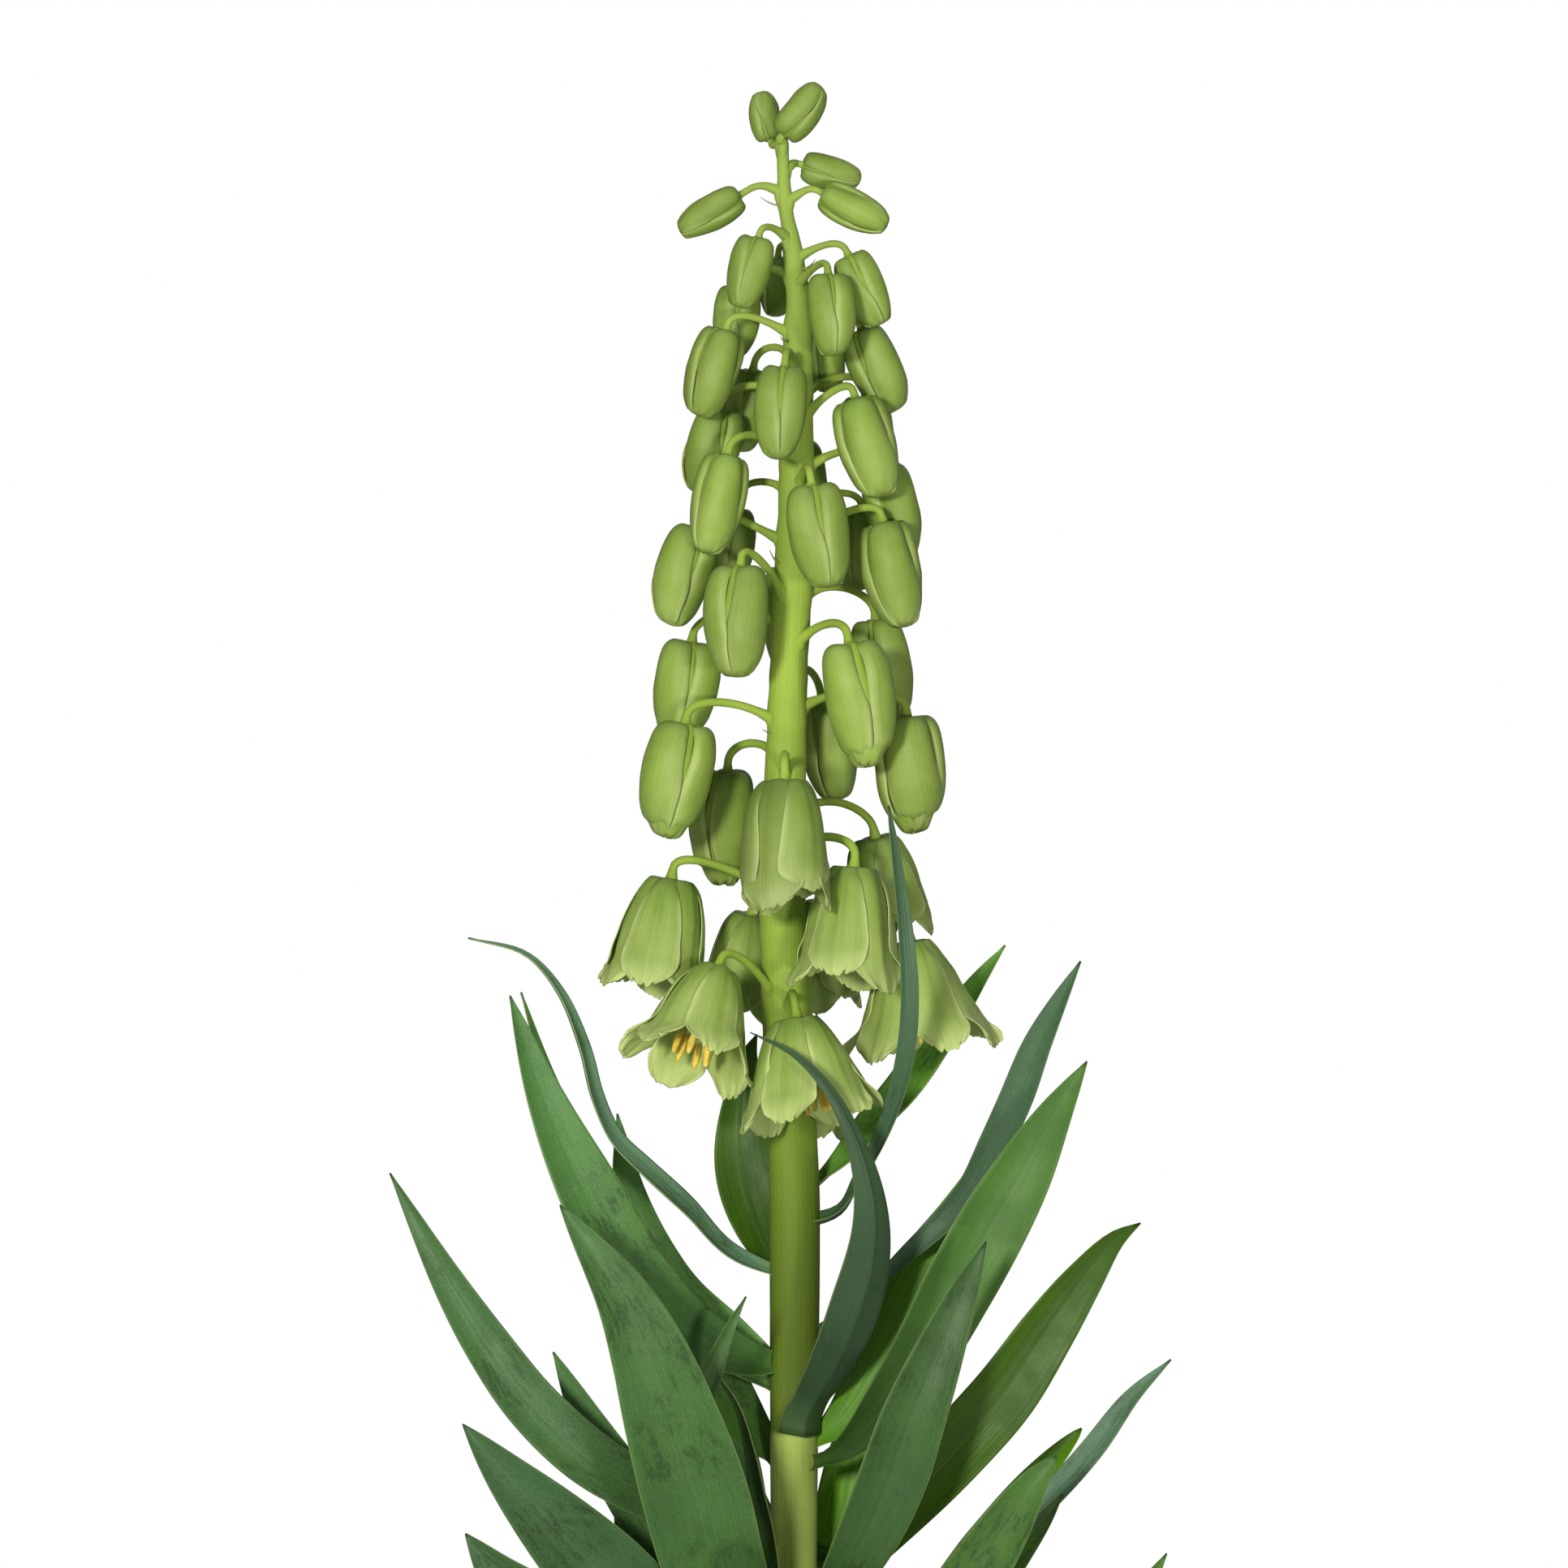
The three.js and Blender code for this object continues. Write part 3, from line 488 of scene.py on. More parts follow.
coloured(t, s, layered(t, stemLook, stemLook["low"], [
    (remap(t, height, 0.25, 0.33), "light"), (remap(t, height, 0.36, 0.46), "top"),
    # painted shade: darker below the bells, where the leaves shade the stem; painted light: pale below the
    # front leaf's foot, where the leaves keep the lamps off it
    (remap(t, height, 0.24, 0.27, 0.85, 0.0), "dim"), (remap(t, height, 0.2195, 0.2215, 1.0, 0.0), "foot"),
    (remap(t, veins["Streak"], 0.35, 0.68, 0.0, 0.16), "deep"), (times(t, veins["Vein"], 0.08), "deep"),
    (times(t, spots["Patch"], 0.42), "deep"), (times(t, spots["Mark"], 0.3), "scar")]))
t.links.new(calc(t, "MULTIPLY_ADD", veins["Streak"], 0.2, 0.5), s.inputs["Roughness"])
bumped(t, s, veins["Height"], *stemLook["bump"])
translucent(s, 0.08, 0.0015, (0.6, 1.0, 0.2))

# leaves: grey or blue-green on one side of the plant, yellower on the other
leafLook = {
    "blue": rgb(72, 108, 70), "yellow": rgb(76, 112, 28), "dark": rgb(40, 64, 38), "bloom": rgb(118, 150, 106),
    "fresh": rgb(92, 126, 66), "rim": rgb(150, 166, 100), "scuff": rgb(30, 48, 26), "foot": rgb(110, 144, 66),
    "lime": rgb(90, 128, 30), "stripe": rgb(46, 74, 24), "grey": rgb(112, 142, 122),
    "veins": 13.0, "stretch": 5.0, "broad": (30.0, 230.0), "small": (105.0, 640.0), "bump": (0.1, 0.0005),
    "dust": 2400.0, "saturation": 1.08,
}
leafMat, t, s = newMat("leaf", 0.5, 0.24)
along, across, inside, tone, light = stored(t, "along", "across", "inside", "tone", "light")
veins = useGroup(t, veinGroup, {
    "Along": along, "Across": across, "Veins": leafLook["veins"], "Seed": times(t, tone, 31.0),
    "Stretch": leafLook["stretch"]})
broad, small = patchy(t, *leafLook["broad"]), patchy(t, *leafLook["small"])
side = calc(t, "ABSOLUTE", across)
fresh = blendRgb(t, tone, leafLook["fresh"], leafLook["lime"])
yellower = remap(t, tone, 0.6, 0.9)
stripes = times(t, yellower, remap(t, veins["Streak"], 0.44, 0.56, 0.0, 0.45))
worn = times(t, remap(t, broad["Cloud"], 0.46, 0.6), remap(t, yellower, 0.0, 1.0, 1.0, 0.3))
strokes = times(t, times(t, worn, veins["Stroke"]), remap(t, small["Cloud"], 0.4, 0.52))
dust = noise(t, ownPlace(t), leafLook["dust"], 1.0)
powder = times(t, remap(t, dust, 0.4, 0.7, 0.0, 0.16), remap(t, tone, 0.0, 1.0, 1.0, 0.0))
tint = layered(t, leafLook, leafLook["blue"], [
    (tone, "yellow"), (times(t, broad["Patch"], 0.4), fresh), (times(t, small["Patch"], 0.24), "dark"),
    (remap(t, veins["Streak"], 0.32, 0.7, 0.0, 0.26), "dark"), (times(t, veins["Vein"], 0.12), "dark"),
    (stripes, "stripe"), (times(t, inside, remap(t, tone, 0.3, 1.0, 0.16, 0.0)), "bloom"),
    (remap(t, tone, -1.0, 0.0, 0.6, 0.0), "grey"), (remap(t, side, 0.0, 0.04, 0.12, 0.0), "bloom"),
    (remap(t, along, 0.0, 0.1, 0.4, 0.0), "foot"),
    # scuffs: a soft shade, and short dark strokes along the blade
    (times(t, worn, 0.22), "dark"), (times(t, strokes, 0.5), "scuff"),
    (times(t, broad["Mark"], 0.25), "scuff"), (powder, "bloom")])
# painted light and shade: each leaf's colour is scaled by its own light
shaded = {"Color": tint, "Saturation": leafLook["saturation"], "Value": light}
coloured(t, s, layered(t, leafLook, add(t, "ShaderNodeHueSaturation", shaded).outputs[0], [
    (remap(t, side, 0.972, 0.992, 0.0, 0.5), "rim"), (remap(t, along, 0.98, 1.0, 0.0, 0.5), "scuff")]))
t.links.new(calc(t, "MULTIPLY_ADD", small["Patch"], 0.14, 0.42), s.inputs["Roughness"])
relief = times(t, veins["Vein"], remap(t, along, 0.8, 1.0, -1.0, 0.0))
bumped(t, s, calc(t, "MULTIPLY_ADD", small["Cloud"], 0.5, relief), *leafLook["bump"])

# clay, with faint rings from the wheel
clayLook = {
    "dark": rgb(184, 106, 70), "light": rgb(194, 117, 79), "chalk": rgb(212, 158, 124),
    "fleck": rgb(120, 62, 40), "patches": (22.0, 1100.0), "bump": (0.2, 0.0005),
}
clayMat, t, s = newMat("terracotta", 0.85, 0.25)
where = ownPlace(t)
spots = patchy(t, *clayLook["patches"])
squeezed = add(t, "ShaderNodeMapping", {"Vector": where, "Scale": (1.0, 1.0, 30.0)}).outputs[0]
rings = noise(t, squeezed, 14.0, 4.0)
coloured(t, s, layered(t, clayLook, clayLook["dark"], [
    (remap(t, rings, 0.35, 0.65), "light"), (times(t, spots["Patch"], 0.4), "chalk"),
    (times(t, spots["Mark"], 0.5), "fleck")]))
bumped(t, s, calc(t, "MULTIPLY_ADD", noise(t, where, 1500.0, 2.0), 0.5, rings), *clayLook["bump"])

# grainy ones: patches of two colours, and some have small marks and a bump
grainLooks = {
    "bract": {"roughness": 0.7, "specular": 0.4, "patches": (500.0, 1500.0),
              "main": rgb(146, 150, 88), "second": rgb(118, 112, 62)},
    "bulb": {"roughness": 0.6, "specular": 0.4, "patches": (120.0, 700.0), "main": rgb(226, 212, 170),
             "second": rgb(190, 160, 108), "mark": rgb(132, 98, 58), "bump": (0.4, 0.0008)},
    "pottingSoil": {"roughness": 0.95, "specular": 0.15, "patches": (160.0, 900.0), "main": rgb(52, 38, 28),
                    "second": rgb(82, 60, 42), "mark": rgb(120, 92, 62), "bump": (0.8, 0.002)},
    "perlite": {"roughness": 0.9, "specular": 0.2, "patches": (600.0, 2000.0),
                "main": rgb(226, 222, 212), "second": rgb(196, 188, 174)},
}
grainMats = {}
for name, look in grainLooks.items():
    grainMats[name], t, s = newMat(name, look["roughness"], look["specular"])
    spots = patchy(t, *look["patches"])
    tint = blendRgb(t, spots["Patch"], look["main"], look["second"])
    if "mark" in look:
        tint = blendRgb(t, times(t, spots["Mark"], 0.6), tint, look["mark"])
        bumped(t, s, spots["Patch"], *look["bump"])
    coloured(t, s, tint)
print("materials made")

# the plant's places, close to the CAD's, in mm
# stem: height, sideways place, radius
stemLine = [
    [74.3, 0, 4.6], [150, 0, 4.9], [195, 0, 4.4], [228, 0.1, 4.6], [262, 0.2, 4.8], [277, -0.2, 4.6],
    [301, -1.6, 4.4], [323, -2.2, 4.2], [349, -1.5, 3.7], [369, -0.8, 3.5], [385, 0, 3.5], [400, 0.6, 3.2],
    [415, 0.5, 2.9], [424, 0.8, 2.7], [434, 0.8, 2.2], [446, -0.4, 1.5], [455, -1.8, 1.2], [461, -2, 1],
    [466, -2.3, 0.9],
]
# flowers: height of the joint, then the neck's x, nearness and height, the bell's length and width,
# how far it is open, its swing to the right and to the front, and its turn
flowerFields = ("joint", "x", "near", "z", "long", "wide", "opened", "side", "forward", "turn")
flowerRows = [
    [301.5, 0.6, 17.5, 299.5, 20.5, 18, 1, 9, 6, 40],
    [294, 2, -21, 293.5, 18, 14, 0.5, 0, -10, 20],
    [304.5, -14.4, 14, 308.5, 21, 17.5, 1, -17, 22, 14],
    [315.3, 22, -2, 313.8, 21.5, 18, 1, 8, -2, 16],
    [322.3, -8, -15.5, 318.7, 20.5, 14, 0.5, -9, -8, 0],
    [324.5, 5, -20, 321.2, 21, 13.5, 0.5, 3, -8, 40],
    [324.2, -23.2, 2, 325.5, 22, 17, 0.58, -10, 2, -10],
    [331.5, 11.4, 13, 327.8, 23, 17.5, 0.65, -4, 2, -15],
    [338.4, 15.6, -13, 333.2, 20, 14.5, 0.35, 12, -8, 20],
    [342.2, -0.5, -20, 340.7, 18.5, 12.3, 0.2, 0, -8, 30],
    [345.8, -1.7, 22.8, 344, 24.3, 16.5, 0.4, 1, 5, 35],
    [349.5, -12.6, -13, 345.6, 21, 13, 0.2, -2, -6, 25],
    [358.4, 21.4, 1, 355.8, 21.2, 13.8, 0.15, 4, 0, 0],
    [364, 5.4, -15, 359, 18.5, 11, 0, 8, -5, 30],
    [356, -20.6, 7, 354.4, 21, 14, 0.1, -10, 3, 80],
    [374.5, -19.4, -6, 370.2, 18.6, 12.6, 0, -9, 0, 70],
    [371, 10.5, 13, 369.5, 22.7, 13.8, 0.12, 9, 5, 75],
    [379.5, 15.7, -8, 374.5, 18.8, 11.4, 0, 10, -3, 35],
    [386, -1.5, -17, 384.5, 19, 9, 0, 0, -4, 60],
    [379.5, -10, 14, 384, 20.2, 12.6, 0, -2, 6, 40],
    [399.3, -11.5, -11, 395.8, 15, 9.4, 0, -6, -6, 60],
    [390, -18.6, 1.5, 391.8, 18.7, 11.4, 0, -15, 0, 85],
    [396.5, 12.8, -11, 394.8, 14.5, 9.2, 0, -3, -8, 30],
    [391.5, 17, 8, 392.4, 19.3, 11.7, 0, 11, 3, 0],
    [404.2, 17.5, -2, 403.6, 17.8, 10.8, 0, 11, -2, 30],
    [400.7, 3.5, 15.5, 399.3, 19, 12, 0, 9, 6, 70],
    [410.7, 1.5, -15, 408.4, 16, 9.5, 0, 2, -5, 30],
    [407.3, -12.6, 8.5, 405.2, 18.5, 10.6, 0, -12, 5, 5],
    [417.5, -13.8, -4.5, 414.4, 16.3, 10.8, 0, -14, 0, 85],
    [418, 13.8, -11.5, 417, 17.5, 10.8, 0, 5, -3, 20],
    [414, 11.8, 7.5, 415.9, 18.5, 11.6, 0, 15, 4, 0],
    [422.7, -1.8, 13.5, 421.8, 17, 10.2, 0, -5, 6, 55],
    [425, -7.8, -11.5, 421.9, 15, 9, 0, -9, -8, 50],
    [430, 5.5, -11.5, 430.4, 12.5, 8, 0, 5, -10, 30],
    [430.4, 13, -2.2, 429.5, 16.5, 10.4, 0, 22, -2, 25],
    [429.2, -13, 4.5, 429, 16.3, 10.4, 0, -18, 3, 10],
    [440.2, -10.4, -6.5, 437.8, 13, 9.2, 0, -5, -5, 60],
    [438.7, 6.5, 11, 439.3, 15, 9.4, 0, 4, 8, 70],
    [443.6, 10.5, 4.4, 443.3, 14, 8.8, 0, 25, -4, 65],
    [444.5, -3, -9.5, 443.3, 11, 7, 0, -3, -12, 20],
    [447.3, -6.8, 7.5, 446.4, 13.2, 8.5, 0, -15, 8, 40],
    [456, -10.6, 1, 455, 12.9, 7.2, 0, -59, 2, 95],
    [454.4, 5.8, 3.5, 455.3, 13.2, 7.7, 0, 63, 3, 0],
    [460.4, 2, -3, 461, 11, 6.8, 0, 76, -6, 50],
    [464.6, -4.4, -3, 466, 9.2, 6.3, 0, -168, -8, 80],
    [465, -1.9, 2.4, 466.8, 11.3, 7.4, 0, 142, 6, 40],
]
flowers = [{"number": number, **dict(zip(flowerFields, row))} for number, row in enumerate(flowerRows)]
# leaves: the line from stem to tip as x, nearness and height, then width, where it is widest,
# width at the foot, and the way the upper face looks at the foot and at the tip, in degrees
leafRows = [
    ([[0, 0, 234], [-6, 4, 234.5], [-14.5, 12, 238], [-23, 18, 244], [-32, 23, 255.5], [-40.5, 25, 271],
      [-47, 25, 285.5], [-53.4, 23, 303.8]], 14, 0.42, 3, [30, 10]),
    ([[-1, 2, 173], [-7, 13, 182], [-14.3, 27, 195], [-18.6, 37, 210.7], [-23, 43, 225], [-27, 46, 237],
      [-32, 47, 248], [-43.7, 45, 265]], 20, 0.45, 6, [-8, -4]),
    ([[-1, 1, 200], [-16, 9, 205], [-30, 18, 211.5], [-39.5, 21, 217.5], [-49.5, 21, 227], [-57, 20, 237],
      [-65, 17, 249.5], [-76.2, 14, 270.2]], 11, 0.42, 5, [0, -25]),
    ([[0, 0, 250], [-12, 4, 255.5], [-19.7, 7, 263.8], [-27.5, 9, 271], [-33.5, 10, 277], [-37, 11, 284.5],
      [-39.5, 12, 294], [-44, 12, 304.5], [-50.5, 12, 311.5], [-61.5, 11, 314.5]], 5.4, 0.36, 3, [55, 66]),
    ([[0, 0, 228], [-12, 1, 235], [-23, 5, 246], [-32, 9, 259], [-40, 12, 274], [-46, 13, 288],
      [-51.5, 12, 304.3]], 8, 0.4, 4, [10, 60]),
    ([[0, -1, 231], [-12, -3, 239], [-21, -4, 246], [-26.5, -5, 254], [-31, -5, 265], [-33.5, -6, 281]],
      9.5, 0.45, 4, [-10, 15]),
    ([[0, -2, 172], [-12, 1, 185], [-25, 4, 201], [-33, 6, 213], [-39, 7, 223], [-45.5, 7, 236.2]],
      11, 0.5, 5, [-5, -30]),
    ([[-1, 1, 167], [-14, 14, 174], [-27, 26, 186], [-37, 32, 196.5], [-46, 36, 206], [-54, 38, 214.5],
      [-62, 38, 223.8]], 17.5, 0.52, 6, [0, -18]),
    ([[-1, 0, 160], [-16, 9, 166], [-33, 18, 176], [-46, 24, 186], [-55, 27, 194.5], [-61.7, 27, 202.8]],
      15, 0.6, 6, [-10, -35]),
    ([[-1, 2, 186], [-9, 14, 198], [-15, 22, 212], [-17.5, 27, 226], [-14, 28, 236.5], [-11, 28, 243.5],
      [-9, 27, 247.3]], 7, 0.45, 4, [-20, 30]),
    ([[-1, -2, 249], [-6, -8, 260], [-9.5, -11, 273], [-9.5, -12, 284], [-8.5, -12, 292], [-7, -12, 296]],
      12, 0.42, 6, [0, 0]),
    ([[0.95, 3.1, 220.8], [1.3, 3.8, 223.4], [3, 6.4, 227], [5.9, 12.6, 232], [10.4, 21.6, 242],
      [13.8, 28, 254], [14.5, 32, 262], [13.5, 34.5, 270], [10.5, 36, 279], [6, 36, 287], [0, 34.5, 293],
      [-8.2, 31, 297]], 10.2, 0.32, 8.4, [197, 205]),
    ([[1, 0, 261], [8, 5, 263], [12, 12, 269], [15.5, 18, 275.5], [18.5, 22, 283], [21, 26, 293],
      [21.8, 28, 304], [21, 29, 316], [19.5, 27.5, 328], [17.8, 24.5, 339.5]], 3.5, 0.5, 3.4, [-40, 30]),
    ([[1, -1, 266], [8, -7, 271.5], [14.5, -13, 279], [20.5, -17, 285.5], [26, -20, 293], [31, -22, 300],
      [35.5, -23, 306.5], [40.4, -23, 312.8]], 7.6, 0.5, 3, [-35, -15]),
    ([[0, 0, 236.8], [10, 4, 243.6], [20, 8, 253.5], [27, 10, 260], [33.5, 9, 267], [38, 7, 275.5],
      [42, 5, 284], [46, 3, 294], [50, 1, 302], [54.4, -1, 310]], 6.6, 0.66, 3, [25, -20]),
    ([[0, 1, 214], [9, 7, 217.5], [17, 13, 226], [24.5, 17, 236.5], [31, 19, 248.5], [37, 20, 259.5],
      [43, 19, 270], [49, 17, 281], [55.3, 15, 291.3]], 14, 0.55, 3.2, [35, 0]),
    ([[0, 0, 217], [9, 3, 223.5], [15.5, 5, 233.5], [20.5, 5, 244], [25, 4, 253], [30, 2, 262],
      [34.5, 0, 272]], 11.5, 0.5, 4, [10, -5]),
    ([[0, 2, 178], [5, 16, 186.5], [10, 27, 195], [15.5, 33, 206], [19, 36, 215], [22, 38, 224],
      [25.5, 39, 233], [30, 38, 244], [36, 36, 257.9]], 12.8, 0.55, 5, [20, 8]),
    ([[0, 1, 183], [10, 9, 194], [20, 14, 206], [30, 17, 217.5], [40, 19, 229], [47.7, 19, 240.3],
      [54.7, 18, 250.3], [60.5, 16, 257.5], [65.4, 13, 260.7]], 12.8, 0.55, 4, [15, 20]),
    ([[0, -1, 170], [16, -1, 181], [30, 0, 192], [38, 1, 198.5], [47, 2, 207], [56.5, 2, 217.6],
      [64, 1, 227.5], [71.5, 0, 234.5]], 4.9, 0.7, 3, [10, -20]),
    ([[0, -2, 166], [15, -5, 176], [27, -7, 187], [36, -9, 199], [43.5, -10, 208.6], [49.5, -11, 215.4],
      [54.8, -12, 221]], 8, 0.55, 4, [5, -10]),
    ([[0, 1, 162], [12.5, 11, 171], [24, 19, 182], [33, 24, 193.5], [41, 27, 206], [45.5, 28, 212.8],
      [49.4, 28, 217.4]], 12.2, 0.55, 5, [10, 5]),
    ([[0, 0, 154], [18, 7, 163], [35, 12, 173], [50, 14, 180.5], [60, 14.5, 186.5], [66.4, 14, 192.4],
      [70.4, 13, 198.4]], 10, 0.55, 5, [0, 10]),
    ([[0, -3, 176], [6, -8, 190], [9.5, -11, 204], [12, -12, 216], [15, -13, 227], [19, -15, 238]],
      12, 0.5, 5, [0, 0]),
    ([[-1, -1, 214], [-8, -4, 221], [-14, -6, 229.5], [-19.5, -8, 238], [-24, -10, 247]],
      11, 0.5, 5, [5, 0]),
    ([[-1, 3, 178], [-4.5, 12, 193], [-6.5, 16, 207], [-8, 19, 217], [-10.5, 21, 226], [-14.2, 22, 232.3]],
      7.6, 0.36, 5, [-48, -62]),
    ([[-1, -2, 164], [-17, -5, 182], [-26, -7, 196], [-30, -8, 208], [-31, -9, 219]], 15, 0.5, 5, [0, 0]),
    ([[-1, -1, 190], [-6, -14, 197], [-13, -29, 208], [-18, -42, 220], [-21, -52, 233], [-22, -58, 243]],
      14, 0.45, 5, [-12, -6]),
    ([[1, -1, 195], [8, -15, 202], [15, -31, 213], [21, -44, 226], [26, -54, 241], [29, -60, 255]],
      14, 0.45, 5, [15, 10]),
    ([[0, -2, 158], [-5, -19, 166], [-9, -36, 176], [-13, -51, 190], [-15, -62, 207]],
      15, 0.45, 6, [-8, -5]),
    ([[0, 2, 142], [3, 17, 146], [6, 35, 154], [8, 52, 165], [9, 66, 180]], 15, 0.45, 6, [5, 2]),
    ([[-1, 1, 150], [-11, 15, 156], [-22, 30, 165], [-31, 43, 177], [-36, 52, 189]],
      14, 0.45, 6, [-20, -25]),
    ([[1, 1, 133], [15, 13, 139], [31, 24, 148], [45, 33, 160], [55, 39, 174]], 14, 0.45, 6, [35, 40]),
    ([[1, -1, 138], [14, -15, 144], [28, -29, 153], [40, -41, 166], [48, -49, 181]],
      14, 0.45, 6, [-30, -40]),
    ([[-1, -1, 146], [-15, -13, 151], [-31, -25, 160], [-45, -35, 172], [-54, -42, 187]],
      14, 0.45, 6, [40, 50]),
    ([[-1, 0, 129], [-18, 3, 134], [-36, 6, 142], [-52, 8, 153], [-63, 9, 168]], 13, 0.45, 6, [-20, -40]),
    ([[0, 0.5, 158], [13, 6, 168], [25, 9, 179], [35, 11, 190], [42.5, 12, 199], [47.5, 12, 205],
      [50.8, 11.5, 209.5]], 9, 0.55, 5, [5, 10]),
]
stemX = [(z, x) for z, x, r in stemLine]
stemR = [(z, r) for z, x, r in stemLine]


def flowerLine(flower):
    # the way the flower points, and its neck
    side, forward = math.radians(flower["side"]), math.radians(flower["forward"])
    level = math.cos(forward)
    axis = Vector((math.sin(side) * level, -math.sin(forward), -math.cos(side) * level))
    return axis, Vector((flower["x"], -flower["near"], flower["z"]))


def flowerPlace(flower):
    # the flower's matrix, in metres: x to its front, y to its right, z back up its stalk
    axis, neck = flowerLine(flower)
    front = Vector((0, -1, 0))
    ahead = (front - axis * front.dot(axis)).normalized()
    m = Matrix((ahead, ahead.cross(axis).normalized(), -axis)).transposed().to_4x4()
    m.translation = neck * mm
    return m


# a part's kind is its material's place in this row
kinds = ("Outer", "Inner", "Anther", "Thread")
# one third of a flower: an outer tepal, an inner one and, in a bell, two stamens
# the profiles run from the neck, at 0, to the tip, at 1; pairs are for a bud and a bell
form = {
    "bellFrom": 0.3, "budGrid": (28, 15), "bellGrid": (40, 27), "wobble": 0.0007, "overlap": 0.3,
    "roll": 0.085, "gape": 38, "thick": (0.7, 0.4), "widen": {0: 0.16, 3: 0.12},
    "shutR": [(0, 0.1), (0.04, 0.38), (0.09, 0.6), (0.15, 0.77), (0.22, 0.88), (0.3, 0.95), (0.42, 1.0),
              (0.54, 0.99), (0.68, 0.9), (0.8, 0.74), (0.9, 0.56), (0.97, 0.38), (1, 0.1)],
    "openR": [(0, 0.1), (0.04, 0.26), (0.09, 0.42), (0.16, 0.56), (0.25, 0.7), (0.4, 0.88), (0.56, 1.02),
              (0.72, 1.15), (0.86, 1.28), (0.94, 1.36), (1, 1.41)],
    "shutDepth": [(0, 0.04), (0.04, -0.02), (0.09, -0.03), (0.15, 0.0), (0.22, 0.06), (0.3, 0.15), (0.42, 0.3),
                  (0.56, 0.5), (0.7, 0.7), (0.82, 0.855), (0.91, 0.94), (0.97, 0.985), (1, 1.0)],
    "openDepth": [(0, 0.05), (0.04, 0.0), (0.09, 0.0), (0.16, 0.045), (0.25, 0.12), (0.4, 0.3), (0.56, 0.5),
                  (0.72, 0.69), (0.86, 0.85), (0.94, 0.94), (1, 1.0)],
    "lobes": [(0, 0.05), (0.06, 0.26), (0.13, 0.27), (0.25, 0.2), (0.45, 0.14), (0.65, 0.08), (0.85, 0.06),
              (1, 0)],
    "slit": [(0, 0.6), (0.08, 1.2), (0.18, 4.2), (0.29, 7.0), (0.42, 5.6), (0.54, 1.6), (0.64, 0.2), (1, 0.1)],
    "outerWide": [(0, 0.3), (0.06, 0.36), (0.14, 0.44), (0.25, 0.56), (0.4, 0.76), (0.56, 0.92), (0.7, 1.0),
                  (0.82, 0.98), (0.91, 0.86), (0.97, 0.7), (1, 0.56)],
    "innerWide": [(0, 0.3), (0.1, 0.62), (0.2, 0.78), (0.3, 0.86), (0.55, 0.98), (0.72, 1.02), (0.84, 0.98),
                  (0.92, 0.84), (0.97, 0.68), (1, 0.54)],
}


def budTepal(flower, inner, rng, u, v):
    # a shut flower's tepal, full like a pillow, in angle, radius and depth
    half, long, opened = flower["wide"] / 2, flower["long"], flower["opened"]
    edge = np.abs(v)
    loose = opened * smooth(0.5, 1.0, u) * form["gape"]
    slit = curveAt(form["slit"], u) * rng.uniform(0.5, 1.7) + loose
    angle = np.radians(60 - slit)
    r = half * curveAt(form["shutR"], u)
    # the rims sink between the shoulders, which also stand higher than the notch
    valley = curveAt(form["lobes"], u) * rng.uniform(0.8, 1.2)
    depth = long * (curveAt(form["shutDepth"], u) + 0.16 * valley * edge**2 * smooth(0.3, 0.1, u))
    roll = form["roll"] * edge**9 * smooth(0.0, 0.1, u) * smooth(0.7, 0.5, u)
    midrib = np.exp(-((v / 0.08) ** 2))
    if inner:
        keel = 0.1 * midrib * smooth(0.66, 0.5, u)
        r = r * (0.74 - 0.45 * valley * smooth(0.5, 0.3, u) + 0.1 * smooth(0.5, 0.8, u)) + keel * half
        angle = np.radians(50 + 12 * smooth(0.5, 0.75, u))
    else:
        r = r * (1 - valley * edge**2.4 - roll) + 0.02 * half * midrib * smooth(0.1, 0.4, u)
        # one rim lies a little over its neighbour's below the slit
        lap = form["overlap"] * rng.uniform(0.4, 1.1) * smooth(0.46, 0.7, u) * smooth(1.0, 0.9, u)
        r = r + lap * (smooth(0.55, 1.0, v) - 1.1 * smooth(0.6, 1.0, -v))
        angle = angle + np.radians(3) * smooth(0.46, 0.7, u) * np.where(v > 0, 1, 0)
        r = r + half * 0.05 * np.sin(9 * v + rng.uniform(0, 6)) * smooth(0.82, 0.97, u)
    # riper buds show the ruffled tips of the inner tepals below the outer ones
    ruffle = np.sin(7 * v + rng.uniform(0, 6)) + 0.6 * np.sin(17 * v + rng.uniform(0, 6))
    uneven = rng.uniform(-1.0, 0.6) * 0.012 - 0.55 * opened + 0.02 * ruffle * (0.3 + 4 * opened)
    longer = 0.006 + 0.1 * opened * ruffle if inner else uneven
    return angle * v, r, depth + longer * long * smooth(0.75, 1.0, u)


